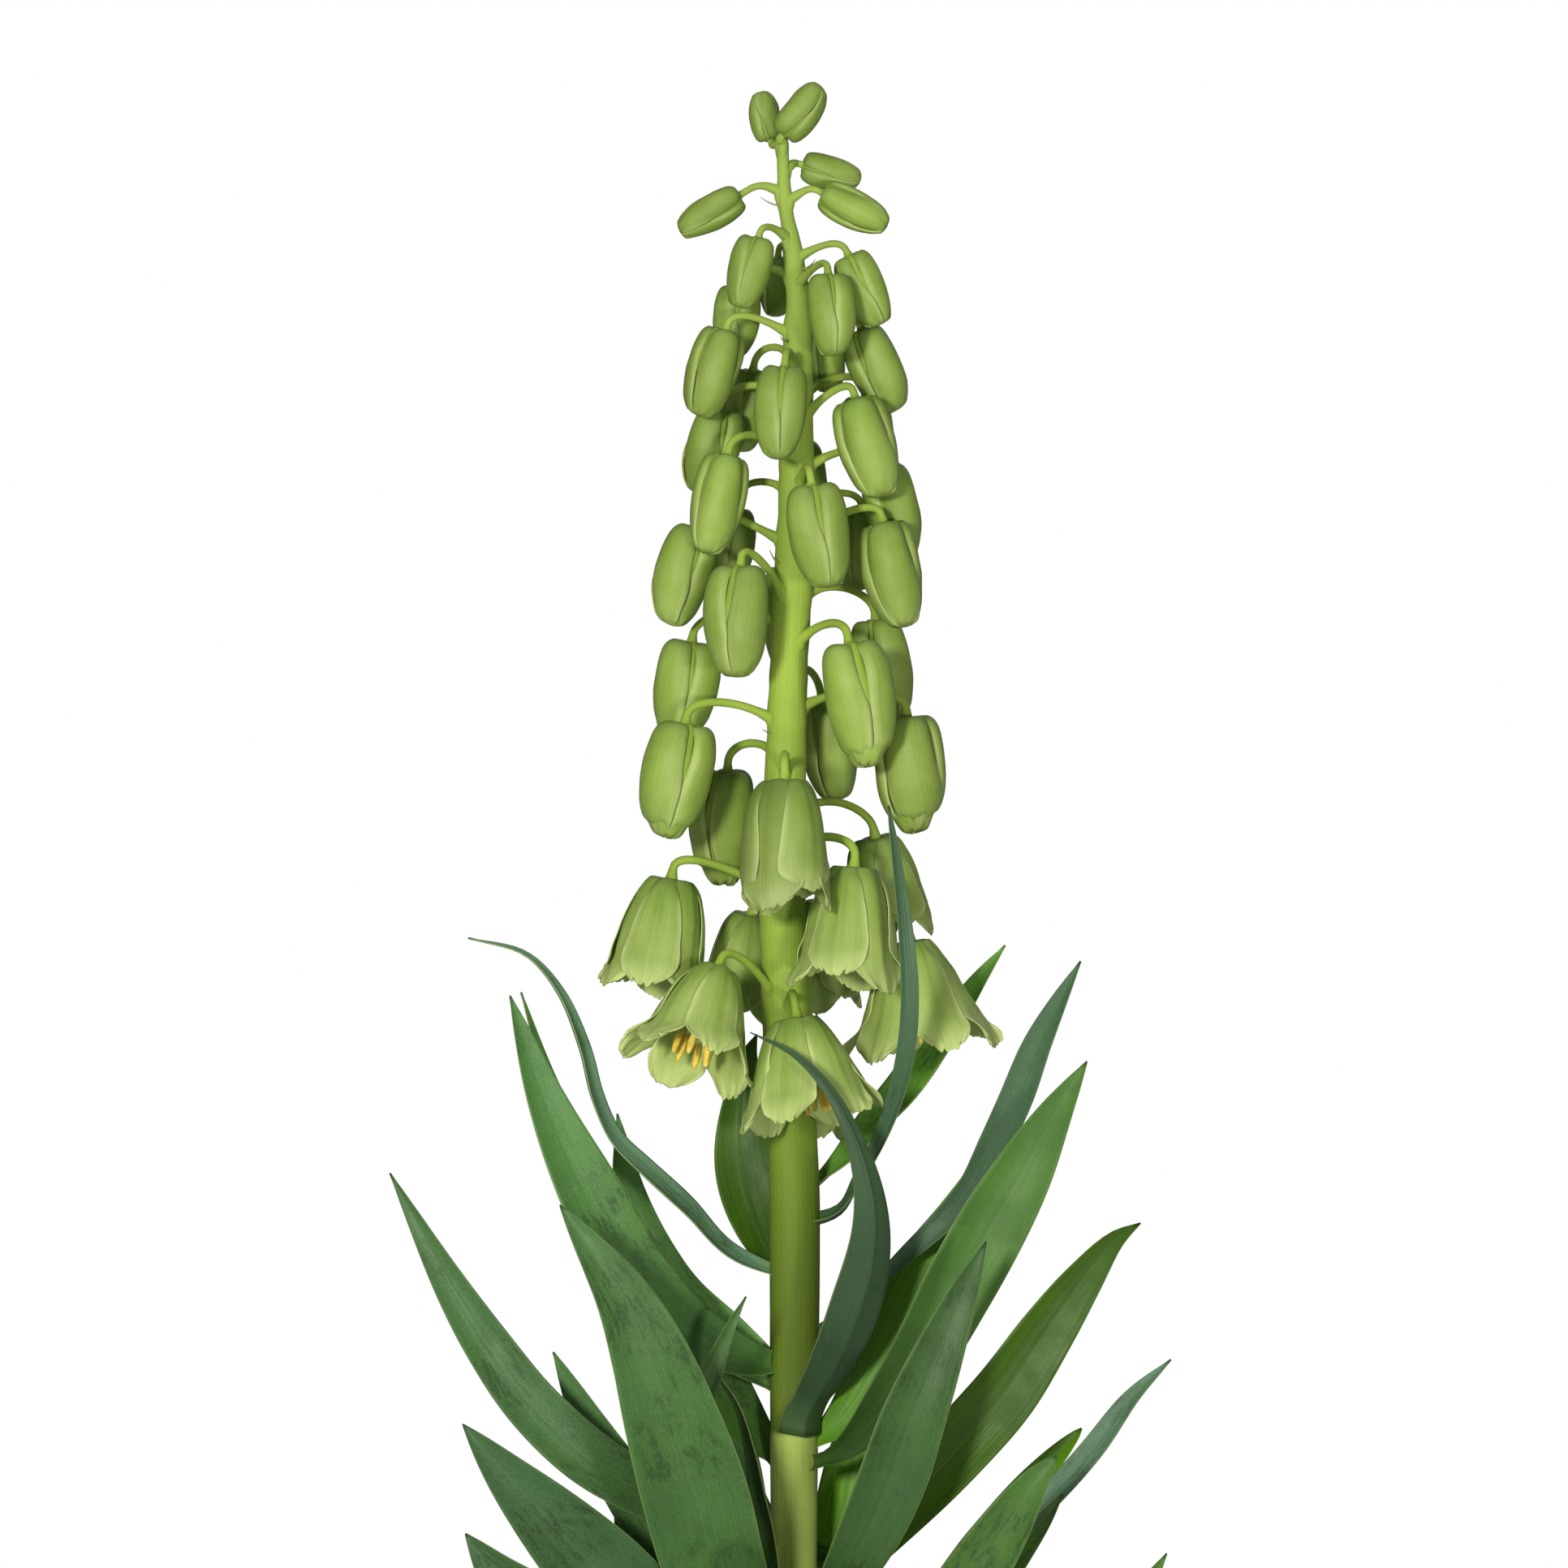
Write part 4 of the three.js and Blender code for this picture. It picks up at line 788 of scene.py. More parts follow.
def bellTepal(flower, inner, rng, u, v):
    # an open flower's tepal, a spoon rounded across, in angle, radius and depth
    wide, long, opened = flower["wide"], flower["long"], flower["opened"]
    half = wide / 2
    w = opened**0.6
    edge = np.abs(v)
    lean = rng.uniform(-0.06, 0.08) * smooth(0.3, 1.0, u) * (0.5 + opened)
    r = half * ((1 - w) * curveAt(form["shutR"], u * 0.9) + w * curveAt(form["openR"], u) + lean)
    r = r * (1 + form["widen"].get(flower["number"], 0) * smooth(0.15, 1.0, u))
    depth = long * ((1 - w) * curveAt(form["shutDepth"], u) + w * curveAt(form["openDepth"], u))
    r = r - (0.05 * wide * smooth(0.0, 0.3, u) * (1 - 0.5 * smooth(0.7, 1.0, u)) if inner else 0)
    reach = (0.285 if inner else 0.275) * long * curveAt(form["innerWide" if inner else "outerWide"], u)
    reach = np.minimum(reach, np.maximum(r, 0.4) * math.radians(70))
    # rounded shoulders, lower toward the rims
    hump = smooth(0.02, 0.12, u) * smooth(0.5, 0.15, u)
    depth = depth + 0.045 * long * edge**2 * hump
    # round tips with ragged rims, the inner ones lower than the outer ones
    phase = rng.uniform(0, 6.28, 6)
    rag = 0.5 * np.sin(6 * v + phase[0]) + 0.45 * np.sin(13 * v + phase[1]) + 0.35 * np.sin(19 * v + phase[2])
    notch = np.minimum(np.sin(17 * v + phase[3]) * np.sin(5 * v + phase[4]), 0.0)
    tip = smooth(0.72, 1.0, u) ** 1.5
    short = rng.uniform(-0.03, 0.02) if inner else rng.uniform(0.0, 0.07) + 0.24 * (1 - opened) ** 2
    depth = depth * (1 - short * smooth(0.3, 1.0, u))
    depth = depth - long * (0.06 * edge**2.2 * smooth(0.55, 1.0, u) - (0.011 * rag + 0.03 * notch) * tip)
    sides = np.where(v > 0, np.sin(19 * u + phase[0]), np.sin(23 * u + phase[2]))
    reach = reach * (1 + 0.02 * sides * smooth(0.6, 0.9, u))
    bend = np.maximum(r, 0.5) * ((1.0 if inner else 0.78) + 0.35 * smooth(0.6, 1.0, u))
    turn = v * reach / bend
    sideways = bend * np.sin(turn)
    tucked = r - bend * (1 - np.cos(turn))
    # soft waves along the rims, most near the tip, and a fold beside the midrib
    waves = np.sin(8 * u + 2.4 * v + phase[0]) * 0.6 + np.sin(17 * u - 1.7 * v + phase[1]) * 0.4
    frill = np.sin(21 * u + 9 * v + phase[2]) * edge**3 + 0.5 * np.sin(12 * v + phase[4]) * tip
    tucked = tucked + waves * edge**2 * smooth(0.35, 0.9, u) * (0.015 + 0.03 * opened) * wide
    tucked = tucked + frill * smooth(0.65, 0.95, u) * 0.012 * wide
    flare = smooth(0.75, 1.0, u) * (0.02 + 0.1 * opened) * half * rng.uniform(-0.6, 1.2)
    ridge = 0.028 * np.exp(-((v / 0.12) ** 2))
    tucked = tucked + flare + ridge * half * smooth(0.05, 0.3, u) * (1 - smooth(0.75, 1.0, u))
    return np.arctan2(sideways, tucked), np.hypot(sideways, tucked), depth - 0.3 * flare


def tepal(flower, inner, rng, age):
    opened, half = flower["opened"], flower["wide"] / 2
    rows, cols = form["bellGrid" if opened >= form["bellFrom"] else "budGrid"]
    x = np.linspace(0, 1, rows)
    y = np.linspace(-1, 1, cols)
    # more rows near both ends, more columns near the rims
    u = (0.5 * x + 0.25 - 0.25 * np.cos(np.pi * x))[:, None] * np.ones((1, cols))
    v = (np.sin(y * np.pi / 2) * 0.5 + 0.5 * y)[None, :] * np.ones((rows, 1))
    share = float(smooth(0.16, 0.36, opened))
    shut = budTepal(flower, inner, rng, u, v)
    blade = bellTepal(flower, inner, rng, u, v)
    angle, r, depth = ((1 - share) * a + share * b for a, b in zip(shut, blade))
    r = np.maximum(r, 0.06 * half)
    angle = angle + math.radians(60 if inner else 0)
    full = (1 - share) * form["thick"][0] + share * form["thick"][1]
    thick = full * (1 - 0.6 * np.abs(v) ** 4) * (0.6 + 0.4 * smooth(0.0, 0.2, u))

    def skin(radius):
        return np.stack([radius * np.cos(angle), radius * np.sin(angle), -depth], axis=-1).reshape(-1, 3)

    verts = np.vstack([skin(r), skin(np.maximum(r - thick, 0.02 * half))])
    n = rows * cols
    data = {
        "along": np.tile(u.reshape(-1), 2), "across": np.tile(v.reshape(-1), 2),
        "inside": np.repeat([0.0, 1.0], n), "age": np.full(2 * n, age), "kind": np.full(2 * n, float(inner)),
    }
    return verts, facedOut(verts, bladeFaces(rows, cols)), data


# radii in mm, from foot to tip, and lengths in shares of the bell's
stamen = {"threadR": (0.34, 0.2), "antherR": (0.16, 0.58), "antherLong": 0.24, "sides": (6, 8)}
pistil = {"radii": (0.75, 0.7, 0.4, 0.36), "long": 0.62, "tipOut": 0.5}


def stamenPair(flower, age, rng):
    # two stamens and a third of the pistil
    long, made = flower["long"], []
    threadSides, antherSides = stamen["sides"]

    def keep(path, radii, sides, kind):
        verts, faces, data = tube(path, radii, sides)
        data.update(kind=np.full(len(verts), kinds.index(kind)), age=np.full(len(verts), age))
        made.append((verts, faces, data))

    for base in (30, 90):
        angle = math.radians(base + rng.uniform(-6, 6))
        reach = rng.uniform(0.8, 1.15)
        share = np.linspace(0, 1, 9)
        out = 0.6 + (0.15 * flower["wide"] * reach) * share**0.8
        down = long * (0.12 + (0.4 + 0.16 * flower["opened"] ** 3) * share)
        path = np.stack([out * math.cos(angle), out * math.sin(angle), -down], axis=1)
        keep(path, np.interp(share, [0, 1], stamen["threadR"]), threadSides, "Thread")
        lean = np.array([math.cos(angle) * 0.12, math.sin(angle) * 0.12, -1.0])
        anther = path[-1] - lean * 0.6 + share[:, None] * lean * long * stamen["antherLong"]
        slim, full = stamen["antherR"]
        swell = slim + full * np.sin(np.pi * np.clip(share, 0.04, 0.96)) ** 0.5
        keep(anther, swell, antherSides, "Anther")
    share = np.linspace(0, 1, 8)
    out = 0.3 + pistil["tipOut"] * smooth(0.86, 1.0, share)
    path = np.stack([out, 0 * share, -long * (0.1 + pistil["long"] * share)], axis=1)
    keep(path, np.interp(share, [0, 0.2, 0.4, 1], pistil["radii"]), threadSides, "Thread")
    return made


def twisted(mesh, rng, long, wide):
    # turns a bud's lower part and bows its middle, so that no two are alike
    co = np.empty(len(mesh.vertices) * 3)
    mesh.vertices.foreach_get("co", co)
    co = co.reshape(-1, 3)
    t = np.clip(-co[:, 2] / long, 0, 1)
    turn = rng.uniform(-0.3, 0.3) * smooth(0.15, 1.0, t)
    x = co[:, 0] * np.cos(turn) - co[:, 1] * np.sin(turn)
    y = co[:, 0] * np.sin(turn) + co[:, 1] * np.cos(turn)
    side = rng.uniform(0, 6.28)
    bow = rng.uniform(0.01, 0.045) * wide * np.sin(np.pi * t)
    co[:, 0] = x + bow * math.cos(side)
    co[:, 1] = y + bow * math.sin(side)
    mesh.vertices.foreach_set("co", co.reshape(-1))


# parts of Geometry Nodes trees
def named(tree, name):
    return add(tree, "GeometryNodeInputNamedAttribute", {"Name": name}, data_type="FLOAT").outputs[0]


def storing(tree, geometry, name, value, domain="POINT"):
    inputs = {"Geometry": geometry, "Name": name, "Value": value}
    return add(tree, "GeometryNodeStoreNamedAttribute", inputs, data_type="FLOAT", domain=domain).outputs[0]


def moved(tree, geometry, offset):
    return add(tree, "GeometryNodeSetPosition", {"Geometry": geometry, "Offset": offset}).outputs[0]


def setting(tree, kind, geometry, **inputs):
    # a node of one geometry input and one output
    return add(tree, "GeometryNode" + kind, {"Geometry": geometry, **inputs}).outputs[0]


def dice(tree, low, high, seed, point=None):
    # a random number, or a random vector, between low and high
    isVector = isinstance(low, tuple)
    inputs = {0: low, 1: high, 8: seed} if isVector else {2: low, 3: high, 8: seed}
    if point:
        inputs[7] = point
    n = add(tree, "FunctionNodeRandomValue", inputs, data_type="FLOAT_VECTOR" if isVector else "FLOAT")
    return n.outputs[0 if isVector else 1]


def compared(tree, op, a, b, **more):
    inputs = {"A": a, "B": b, **more}
    return add(tree, "FunctionNodeCompare", inputs, data_type="FLOAT", operation=op).outputs[0]


# tree: repeats one third of a flower about its axis, with small differences
whorlTree, ins, outs = newTree("GeometryNodeTree", "whorlTree", {
    "Geometry": "Geometry", "Repeats": 3, "Turn": 0.0, "Tone": 0.5, "Seed": 1, "Wobble": form["wobble"],
    "Outer": "Material", "Inner": "Material", "Anther": "Material", "Thread": "Material"},
    {"Geometry": "Geometry"})
g = whorlTree
points = add(g, "GeometryNodeMeshLine", {"Count": ins["Repeats"], "Offset": (0, 0, 0)}).outputs[0]
index = add(g, "GeometryNodeInputIndex").outputs[0]
spin = calc(g, "MULTIPLY_ADD", calc(g, "DIVIDE", index, ins["Repeats"]), 2 * math.pi, ins["Turn"])
copies = add(g, "GeometryNodeInstanceOnPoints", {
    "Points": points, "Instance": ins["Geometry"], "Rotation": vector(g, z=spin)}).outputs[0]
tone = calc(g, "ADD", dice(g, -0.3, 0.3, ins["Seed"], index), ins["Tone"])
real = setting(g, "RealizeInstances", storing(g, copies, "tone", tone, "INSTANCE"))
# a soft noise pushes the points about, most near the tips
own = add(g, "GeometryNodeInputPosition").outputs[0]
shifted = vectorCalc(g, "ADD", own, vector(g, times(g, ins["Seed"], 0.37)))
even = vectorCalc(g, "SUBTRACT", noise(g, shifted, 130.0, 1.0, output="Color"), (0.5, 0.5, 0.5))
growing = times(g, times(g, named(g, "along"), 2.0), ins["Wobble"])
last = moved(g, real, vectorCalc(g, "SCALE", even, growing))
kind = named(g, "kind")
for number, label in enumerate(kinds):
    same = compared(g, "EQUAL", kind, float(number), Epsilon=0.3)
    last = setting(g, "SetMaterial", last, Selection=same, Material=ins[label])
g.links.new(last, outs[0])

# lightness of a few flowers, by number from 0; the others' is drawn
flowerTone = {0: 0.45, 2: 0.5, 3: 0.5, 6: 0.4, 10: -0.4, 44: 0.1, 45: 0.1}
usualWidth = 14  # of a flower, in mm, for the wobble of its surface
budTones = np.random.default_rng(41)
for flower in flowers:
    number, opened, wide = flower["number"], flower["opened"], flower["wide"]
    isBell = opened >= form["bellFrom"]
    rng = np.random.default_rng(700 + number)
    height = (flower["joint"] - 345) / 120
    age = 0.55 + 0.45 * opened if isBell else 0.42 * (1 - height) + 0.1 * opened
    parts = [tepal(flower, False, rng, age), tepal(flower, True, rng, age)]
    if isBell:
        parts += stamenPair(flower, age, rng)
    verts, faces, data = merged(parts)
    drawn = float(budTones.uniform(0.25, 0.75))
    mesh = runTree(whorlTree, newMesh("third", verts * mm, faces, data), {
        "Turn": math.radians(flower["turn"]), "Tone": flowerTone.get(number, drawn), "Seed": 11 + number,
        "Wobble": form["wobble"] * wide / usualWidth, "Outer": outerMat, "Inner": innerMat,
        "Anther": antherMat, "Thread": threadMat})
    if not isBell:
        twisted(mesh, rng, flower["long"] * mm, wide * mm)
    mesh.transform(flowerPlace(flower))
    kindName = "bell" if isBell else "bud"
    label = f"{number + 1:02d}"
    nodes = [name for name in (f"{kindName}_{label}", f"stamens_{label}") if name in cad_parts]
    place(f"{kindName}Flower_{label}", mesh, nodes)
print("flowers made")

# tree: sweeps a round, slightly ribbed section along paths
sweepTree, ins, outs = newTree("GeometryNodeTree", "sweepTree", {
    "Geometry": "Geometry", "Sides": 12, "Ribs": 0.0, "Grain": 200.0, "Material": "Material"},
    {"Geometry": "Geometry"})
g = sweepTree
share = add(g, "GeometryNodeSplineParameter").outputs["Factor"]
line = storing(g, add(g, "GeometryNodeMeshToCurve", {0: ins[0]}).outputs[0], "along", share)
circle = add(g, "GeometryNodeCurvePrimitiveCircle", {"Resolution": ins["Sides"], "Radius": 1.0}, mode="RADIUS")
hoop = storing(g, circle.outputs[0], "across", calc(g, "MULTIPLY_ADD", share, 2.0, -1.0))
swept = add(g, "GeometryNodeCurveToMesh", {
    "Curve": line, "Profile Curve": hoop, "Scale": named(g, "thick"), "Fill Caps": True}).outputs[0]
drawnOut = vectorCalc(g, "MULTIPLY", add(g, "GeometryNodeInputPosition").outputs[0], (1.0, 1.0, 0.16))
ribs = times(g, calc(g, "SUBTRACT", noise(g, drawnOut, ins["Grain"], 2.0), 0.5), ins["Ribs"])
ribbed = moved(g, swept, vectorCalc(g, "SCALE", add(g, "GeometryNodeInputNormal").outputs[0], ribs))
real = setting(g, "RealizeInstances", setting(g, "SetShadeSmooth", ribbed))
g.links.new(setting(g, "SetMaterial", real, Material=ins["Material"]), outs[0])


def pathMesh(paths):
    # polylines with a thickness at each point, in mm, as one mesh of edges
    verts, edges, thickness = [], [], []
    for points, radii in paths:
        base = len(verts)
        verts += [tuple(np.asarray(p) * mm) for p in points]
        thickness += [r * mm for r in radii]
        edges += [(base + i, base + i + 1) for i in range(len(points) - 1)]
    mesh = bpy.data.meshes.new("paths")
    mesh.from_pydata(verts, edges, [])
    mesh.attributes.new("thick", "FLOAT", "POINT").data.foreach_set("value", np.array(thickness, np.float32))
    return mesh


def sweptPiece(name, paths, look):
    mesh = runTree(sweepTree, pathMesh(paths), {
        "Sides": look["sides"], "Ribs": look["ribs"], "Grain": look["grain"], "Material": stemMat})
    place(name, mesh, ["leafy_stem"])


# stem, a little thicker at each joint
stem = {"points": 260, "sides": 40, "ribs": 0.00014, "grain": 420.0, "swell": 0.18, "swellReach": 2.2}
heights = np.linspace(stemLine[0][0], stemLine[-1][0], stem["points"])
radii = curveAt(stemR, heights)
for flower in flowers:
    radii = radii + stem["swell"] * np.exp(-(((heights - flower["joint"]) / stem["swellReach"]) ** 2))
sweptPiece("stemPiece", [(np.stack([curveAt(stemX, heights), 0 * heights, heights], axis=1), radii)], stem)

# stalks: each runs up the stem's side, then arches out over its flower's neck
stalk = {
    "steps": 18, "points": 30, "sides": 12, "ribs": 0.00012, "grain": 900.0, "drop": 0.1, "creep": 3.6,
    "arch": 0.5, "archLeast": 1.3, "rise": 0.2, "lead": 0.22, "leadMost": 3.5,
    "slimmest": 0.5, "growth": 0.021, "slim": 0.84, "foot": 1.6, "footReach": 2.6, "cup": 1.6,
}
stalkPaths = []
for flower in flowers:
    axis, neck = flowerLine(flower)
    long, joint = flower["long"], flower["joint"]
    root = Vector((float(np.interp(joint, *zip(*stemX))), 0, joint))
    thickHere = float(curveAt(stemR, joint))
    end = neck + axis * (0.03 * long)
    above = neck - axis * (stalk["drop"] * long)
    outward = Vector((end.x - root.x, end.y - root.y, 0))
    reach = outward.length
    outward.normalize()
    # a curve from the stem's side, over the top and down to the neck
    p0 = root + outward * thickHere * 0.9
    p1 = root + outward * max(stalk["arch"] * reach, thickHere * stalk["archLeast"])
    p1.z = max(root.z + stalk["rise"] * reach, above.z)
    p2 = above - axis * min(stalk["lead"] * reach, stalk["leadMost"])
    low = root + outward * thickHere * 0.3 - Vector((0, 0, stalk["creep"]))
    side = root + outward * thickHere * 0.72 - Vector((0, 0, stalk["creep"] * 0.42))
    points = [tuple(low), tuple(side)]
    for t in np.linspace(0, 1, stalk["steps"] + 1):
        points.append(tuple(
            p0 * (1 - t) ** 3 + p1 * (3 * t * (1 - t) ** 2) + p2 * (3 * t * t * (1 - t)) + above * t**3))
    points += [tuple(above.lerp(end, 0.4)), tuple(above.lerp(end, 0.75)), tuple(end)]
    points = throughPoints(points, stalk["points"])
    share = np.linspace(0, 1, stalk["points"])
    run = np.linalg.norm(np.diff(points, axis=0), axis=1).sum()
    foot = (stalk["foot"] - 1) * np.exp(-(((share * run - stalk["creep"]) / stalk["footReach"]) ** 2))
    cup = (stalk["cup"] - 1) * smooth(0.88, 1.0, share)
    thin = (stalk["slimmest"] + stalk["growth"] * long) * stalk["slim"]
    stalkPaths.append((points, thin * (1 + foot + cup)))
sweptPiece("stalkPiece", stalkPaths, stalk)
print("stem and stalks made")

# leaves; the later settings are for single leaves, by number from 0
leaf = {
    "rows": 56, "cols": 17, "keel": 0.16, "groove": 0.28, "rimThick": 0.32, "ribThick": 1.0, "wave": 0.035,
    "slim": {11: 0.5}, "upFoot": {12: 1.0, 13: 1.2}, "hug": {11: 0.95}, "blunt": {12: 0.55, 20: 0.6, 21: 0.65},
    "dim": {15: 0.5, 17: 0.2},
}
# a leaf's own tone, grey -1, blue-green 0 to yellow-green 1, and its painted light: a lightness raised for
# leaves that lie in shade or glow lit from behind, and lowered for some turned away from the lamps
leafTint = {
    0: (0.3, 1.45), 1: (0.25, 1.1), 2: (0.15, 1.05), 3: (-0.7, 1.25), 4: (0.3, 2), 5: (0.4, 2.2),
    6: (0.2, 1.6), 10: (0.9, 0.9), 11: (-0.3, 0.5), 12: (-0.4, 0.72), 13: (0.7, 2.3), 14: (-0.4, 0.8),
    15: (0.6, 1.25), 16: (0.9, 2.6), 17: (0.3, 0.8), 18: (1, 0.86), 19: (-0.7, 0.95), 20: (1, 2),
    21: (0.5, 1.1), 22: (0.8, 1.2), 23: (1, 2.4), 24: (0.6, 1.7), 25: (0.6, 1), 36: (0.6, 1),
}


def leafBlade(entry, number):
    # arrays are a column along the blade, u, or a row across it, v
    line, wide, peak, foot, face = entry
    rng = np.random.default_rng(90 + number)
    rows, cols = leaf["rows"], leaf["cols"]
    spots = throughPoints([(x, -near, z) for x, near, z in line], rows)
    u = np.linspace(0, 1, rows)[:, None]
    v = np.linspace(-1, 1, cols)
    tangent = np.gradient(spots, axis=0)
    tangent /= np.linalg.norm(tangent, axis=1, keepdims=True)
    swell = np.sin(np.pi * u ** (math.log(0.5) / math.log(peak))) ** leaf["blunt"].get(number, 0.85)
    width = np.maximum(np.maximum(wide * swell, foot * (1 - 2 * u)), 0.3)
    width *= 1 + 0.02 * np.sin(u * rng.uniform(7, 12) + rng.uniform(0, 6))
    width *= 1 - leaf["slim"].get(number, 0) * smooth(0.35, 0.8, u)
    look = np.radians(face[0] + (face[1] - face[0]) * u)
    rise = 0.35 + leaf["upFoot"].get(number, 0) * smooth(0.2, 0.02, u)
    across = np.cross(np.hstack([np.sin(look), -np.cos(look), rise]), tangent)
    across /= np.linalg.norm(across, axis=1, keepdims=True)
    normal = np.cross(tangent, across)
    half = width / 2
    # hollow across, deepest at the foot, with a groove along the midrib
    hug = 1 + leaf["hug"].get(number, 2.2) * (1 - smooth(0.0, 0.14, u))
    bow = -2 * half * leaf["keel"] * hug * (1 - np.abs(v) ** 1.6)
    groove = -leaf["groove"] * np.exp(-((v / 0.07) ** 2)) * smooth(0.0, 0.1, u) * smooth(1.0, 0.7, u)
    # each rim has waves of its own
    phase, rate = rng.uniform(0, 6.28, 2), rng.uniform(5, 9, 2)
    left = np.sin(u * rate[0] + phase[0]) + 0.5 * np.sin(u * rate[0] * 2.3 + phase[1])
    right = np.sin(u * rate[1] + phase[1]) + 0.5 * np.sin(u * rate[1] * 2.1 + phase[0])
    rimWave = np.where(v < 0, left, right) * np.abs(v) ** 2 * leaf["wave"] * width
    lift = bow + groove + rimWave * smooth(0.1, 0.3, u)
    extra = (leaf["ribThick"] - leaf["rimThick"]) * np.exp(-((v / 0.22) ** 2)) * smooth(1.02, 0.55, u)
    thick = leaf["rimThick"] + extra
    flat = spots[:, None, :] + across[:, None, :] * (half * v)[:, :, None]
    skins = [flat + normal[:, None, :] * (lift + way * thick / 2)[:, :, None] for way in (1, -1)]
    verts = np.vstack([skin.reshape(-1, 3) for skin in skins])
    n = rows * cols
    drawn = (float(np.clip(0.5 + spots[-1][0] / 90.0, 0, 1)), rng.uniform(0.85, 1.1))
    tone, light = leafTint.get(number, drawn)
    # painted shade: each leaf darker toward its foot
    light = light * (1 - leaf["dim"].get(number, 0.1) * smooth(0.6, 0.1, u))
    data = {
        "along": np.tile(np.repeat(u, cols), 2), "across": np.tile(v, 2 * rows),
        "inside": np.repeat([0.0, 1.0], n), "tone": np.full(2 * n, tone),
        "light": np.tile(np.repeat(light, cols), 2),
    }
    return verts * mm, facedOut(verts, bladeFaces(rows, cols)), data


blades = merged([leafBlade(entry, number) for number, entry in enumerate(leafRows)])
place("leafPiece", newMesh("leafPiece", *blades, leafMat), ["leafy_stem"])
print("leaves made")

# bracts: small dry needles at the joints, as x, nearness, height of foot and tip, in mm
bract = {"steps": 8, "sides": 6, "sag": 0.5, "radii": (0.24, 0.18, 0.05)}
bractRows = [
    ((-1.8, 1.0, 453.2), (-6.4, 2.0, 454.8)), ((1.6, 2.0, 441.2), (4.2, 3.2, 443.0)),
    ((-1.2, 3.0, 427.6), (-2.6, 5.6, 428.4)), ((-3.4, 1.8, 353.6), (-6.0, 3.2, 354.0)),
    ((-3.6, 2.2, 322.6), (-7.6, 3.0, 323.8)), ((2.6, 2.6, 402.0), (4.2, 3.6, 404.4)),
    ((-2.8, 2.2, 385.4), (-4.6, 3.4, 388.0)),
]
needles = []
for row in bractRows:
    a, b = (np.array((x, -near, z)) for x, near, z in row)
    share = np.linspace(0, 1, bract["steps"])[:, None]
    path = a + (b - a) * share - np.array([0, 0, bract["sag"]]) * np.sin(np.pi * share)
    verts, faces, data = tube(path, np.interp(share[:, 0], [0, 0.5, 1], bract["radii"]), bract["sides"])
    needles.append((verts * mm, faces, data))
place("bractPiece", newMesh("bractPiece", *merged(needles), grainMats["bract"]), [])
print("bracts made")


def turnedMesh(name, profile, sides, mat, lumps=0.0, seed=0):
    # a closed shape turned from a profile of radius and height, in mm
    rng = np.random.default_rng(seed)
    verts, along = [], []
    for i, (r, z) in enumerate(profile):
        for k in range(sides):
            angle = 2 * math.pi * k / sides
            verts.append((r * math.cos(angle), r * math.sin(angle), z))
            along.append(i / (len(profile) - 1))
    verts = np.array(verts)
    if lumps:
        verts = verts + rng.normal(0, lumps, verts.shape) * np.array([0.3, 0.3, 1.0])
    verts = np.vstack([verts, [(0, 0, profile[0][1]), (0, 0, profile[-1][1])]])
    faces = facedOut(verts, ringFaces(len(profile), sides))
    return newMesh(name, verts * mm, faces, {"along": along + [0, 1]}, mat)


# pot, with drain holes cut through its floor
pot = {
    "height": 120, "rimHeight": 25, "wallSteps": 16, "sides": 96,
    "foot": [(44.0, 0), (45.2, 0.3), (46.0, 1.2)], "wallFoot": 46.2, "wallTaper": 12.8,
    "rimFoot": [(59.2, -0.6), (60.6, 0.1), (63.6, 0.5), (64.4, 1.1), (64.8, 2.4), (65.4, 12)],
    "rimTop": [(65.9, -2.6), (65.8, -1.1), (65.0, -0.2), (63.6, 0), (61.4, 0), (60.4, -0.5), (60.0, -1.6)],
    "inside": [(59.2, 112), (56.4, 104), (53.2, 95), (50.4, 70), (46.8, 45), (43.2, 20), (40.4, 9.2),
               (39.0, 8.2), (37.0, 8)],
    "holes": 4, "holeRadius": 4.5, "holeCircle": 26, "holeSides": 28, "holeTurn": math.pi / 22,
    "holeZ": (-2.0, 4.0, 11.0),
}
shoulder = pot["height"] - pot["rimHeight"]
profile = pot["foot"] + [
    (pot["wallFoot"] + (z - 1.5) / (shoulder - 1.5) * pot["wallTaper"], z)
    for z in np.linspace(3.2, shoulder - 1.2, pot["wallSteps"])]
profile += [(r, shoulder + z) for r, z in pot["rimFoot"]] + [(r, pot["height"] + z) for r, z in pot["rimTop"]]
potMesh = turnedMesh("potPiece", profile + pot["inside"], pot["sides"], clayMat)
cutters = []
for k in range(pot["holes"]):
    angle = 2 * math.pi * k / pot["holes"] + pot["holeTurn"]
    x, y = pot["holeCircle"] * math.cos(angle), pot["holeCircle"] * math.sin(angle)
    verts, faces, data = tube([(x, y, z) for z in pot["holeZ"]], [pot["holeRadius"]] * 3, pot["holeSides"])
    cutters.append((verts * mm, faces, {"along": data["along"]}))
cutObj = bpy.data.objects.new("drainCutter", newMesh("drainCutter", *merged(cutters), clayMat))
potWork = bpy.data.objects.new("potWork", potMesh)
for obj in (cutObj, potWork):
    scene.collection.objects.link(obj)
cut = potWork.modifiers.new("drain", "BOOLEAN")
cut.object = cutObj
cut.operation = "DIFFERENCE"
cut.solver = "EXACT"
bpy.context.view_layer.update()
potDone = bpy.data.meshes.new_from_object(potWork.evaluated_get(bpy.context.evaluated_depsgraph_get()))
for obj in (cutObj, potWork):
    bpy.data.objects.remove(obj)
potDone.materials.clear()
potDone.materials.append(clayMat)
place("potPiece", potDone, ["pot"])

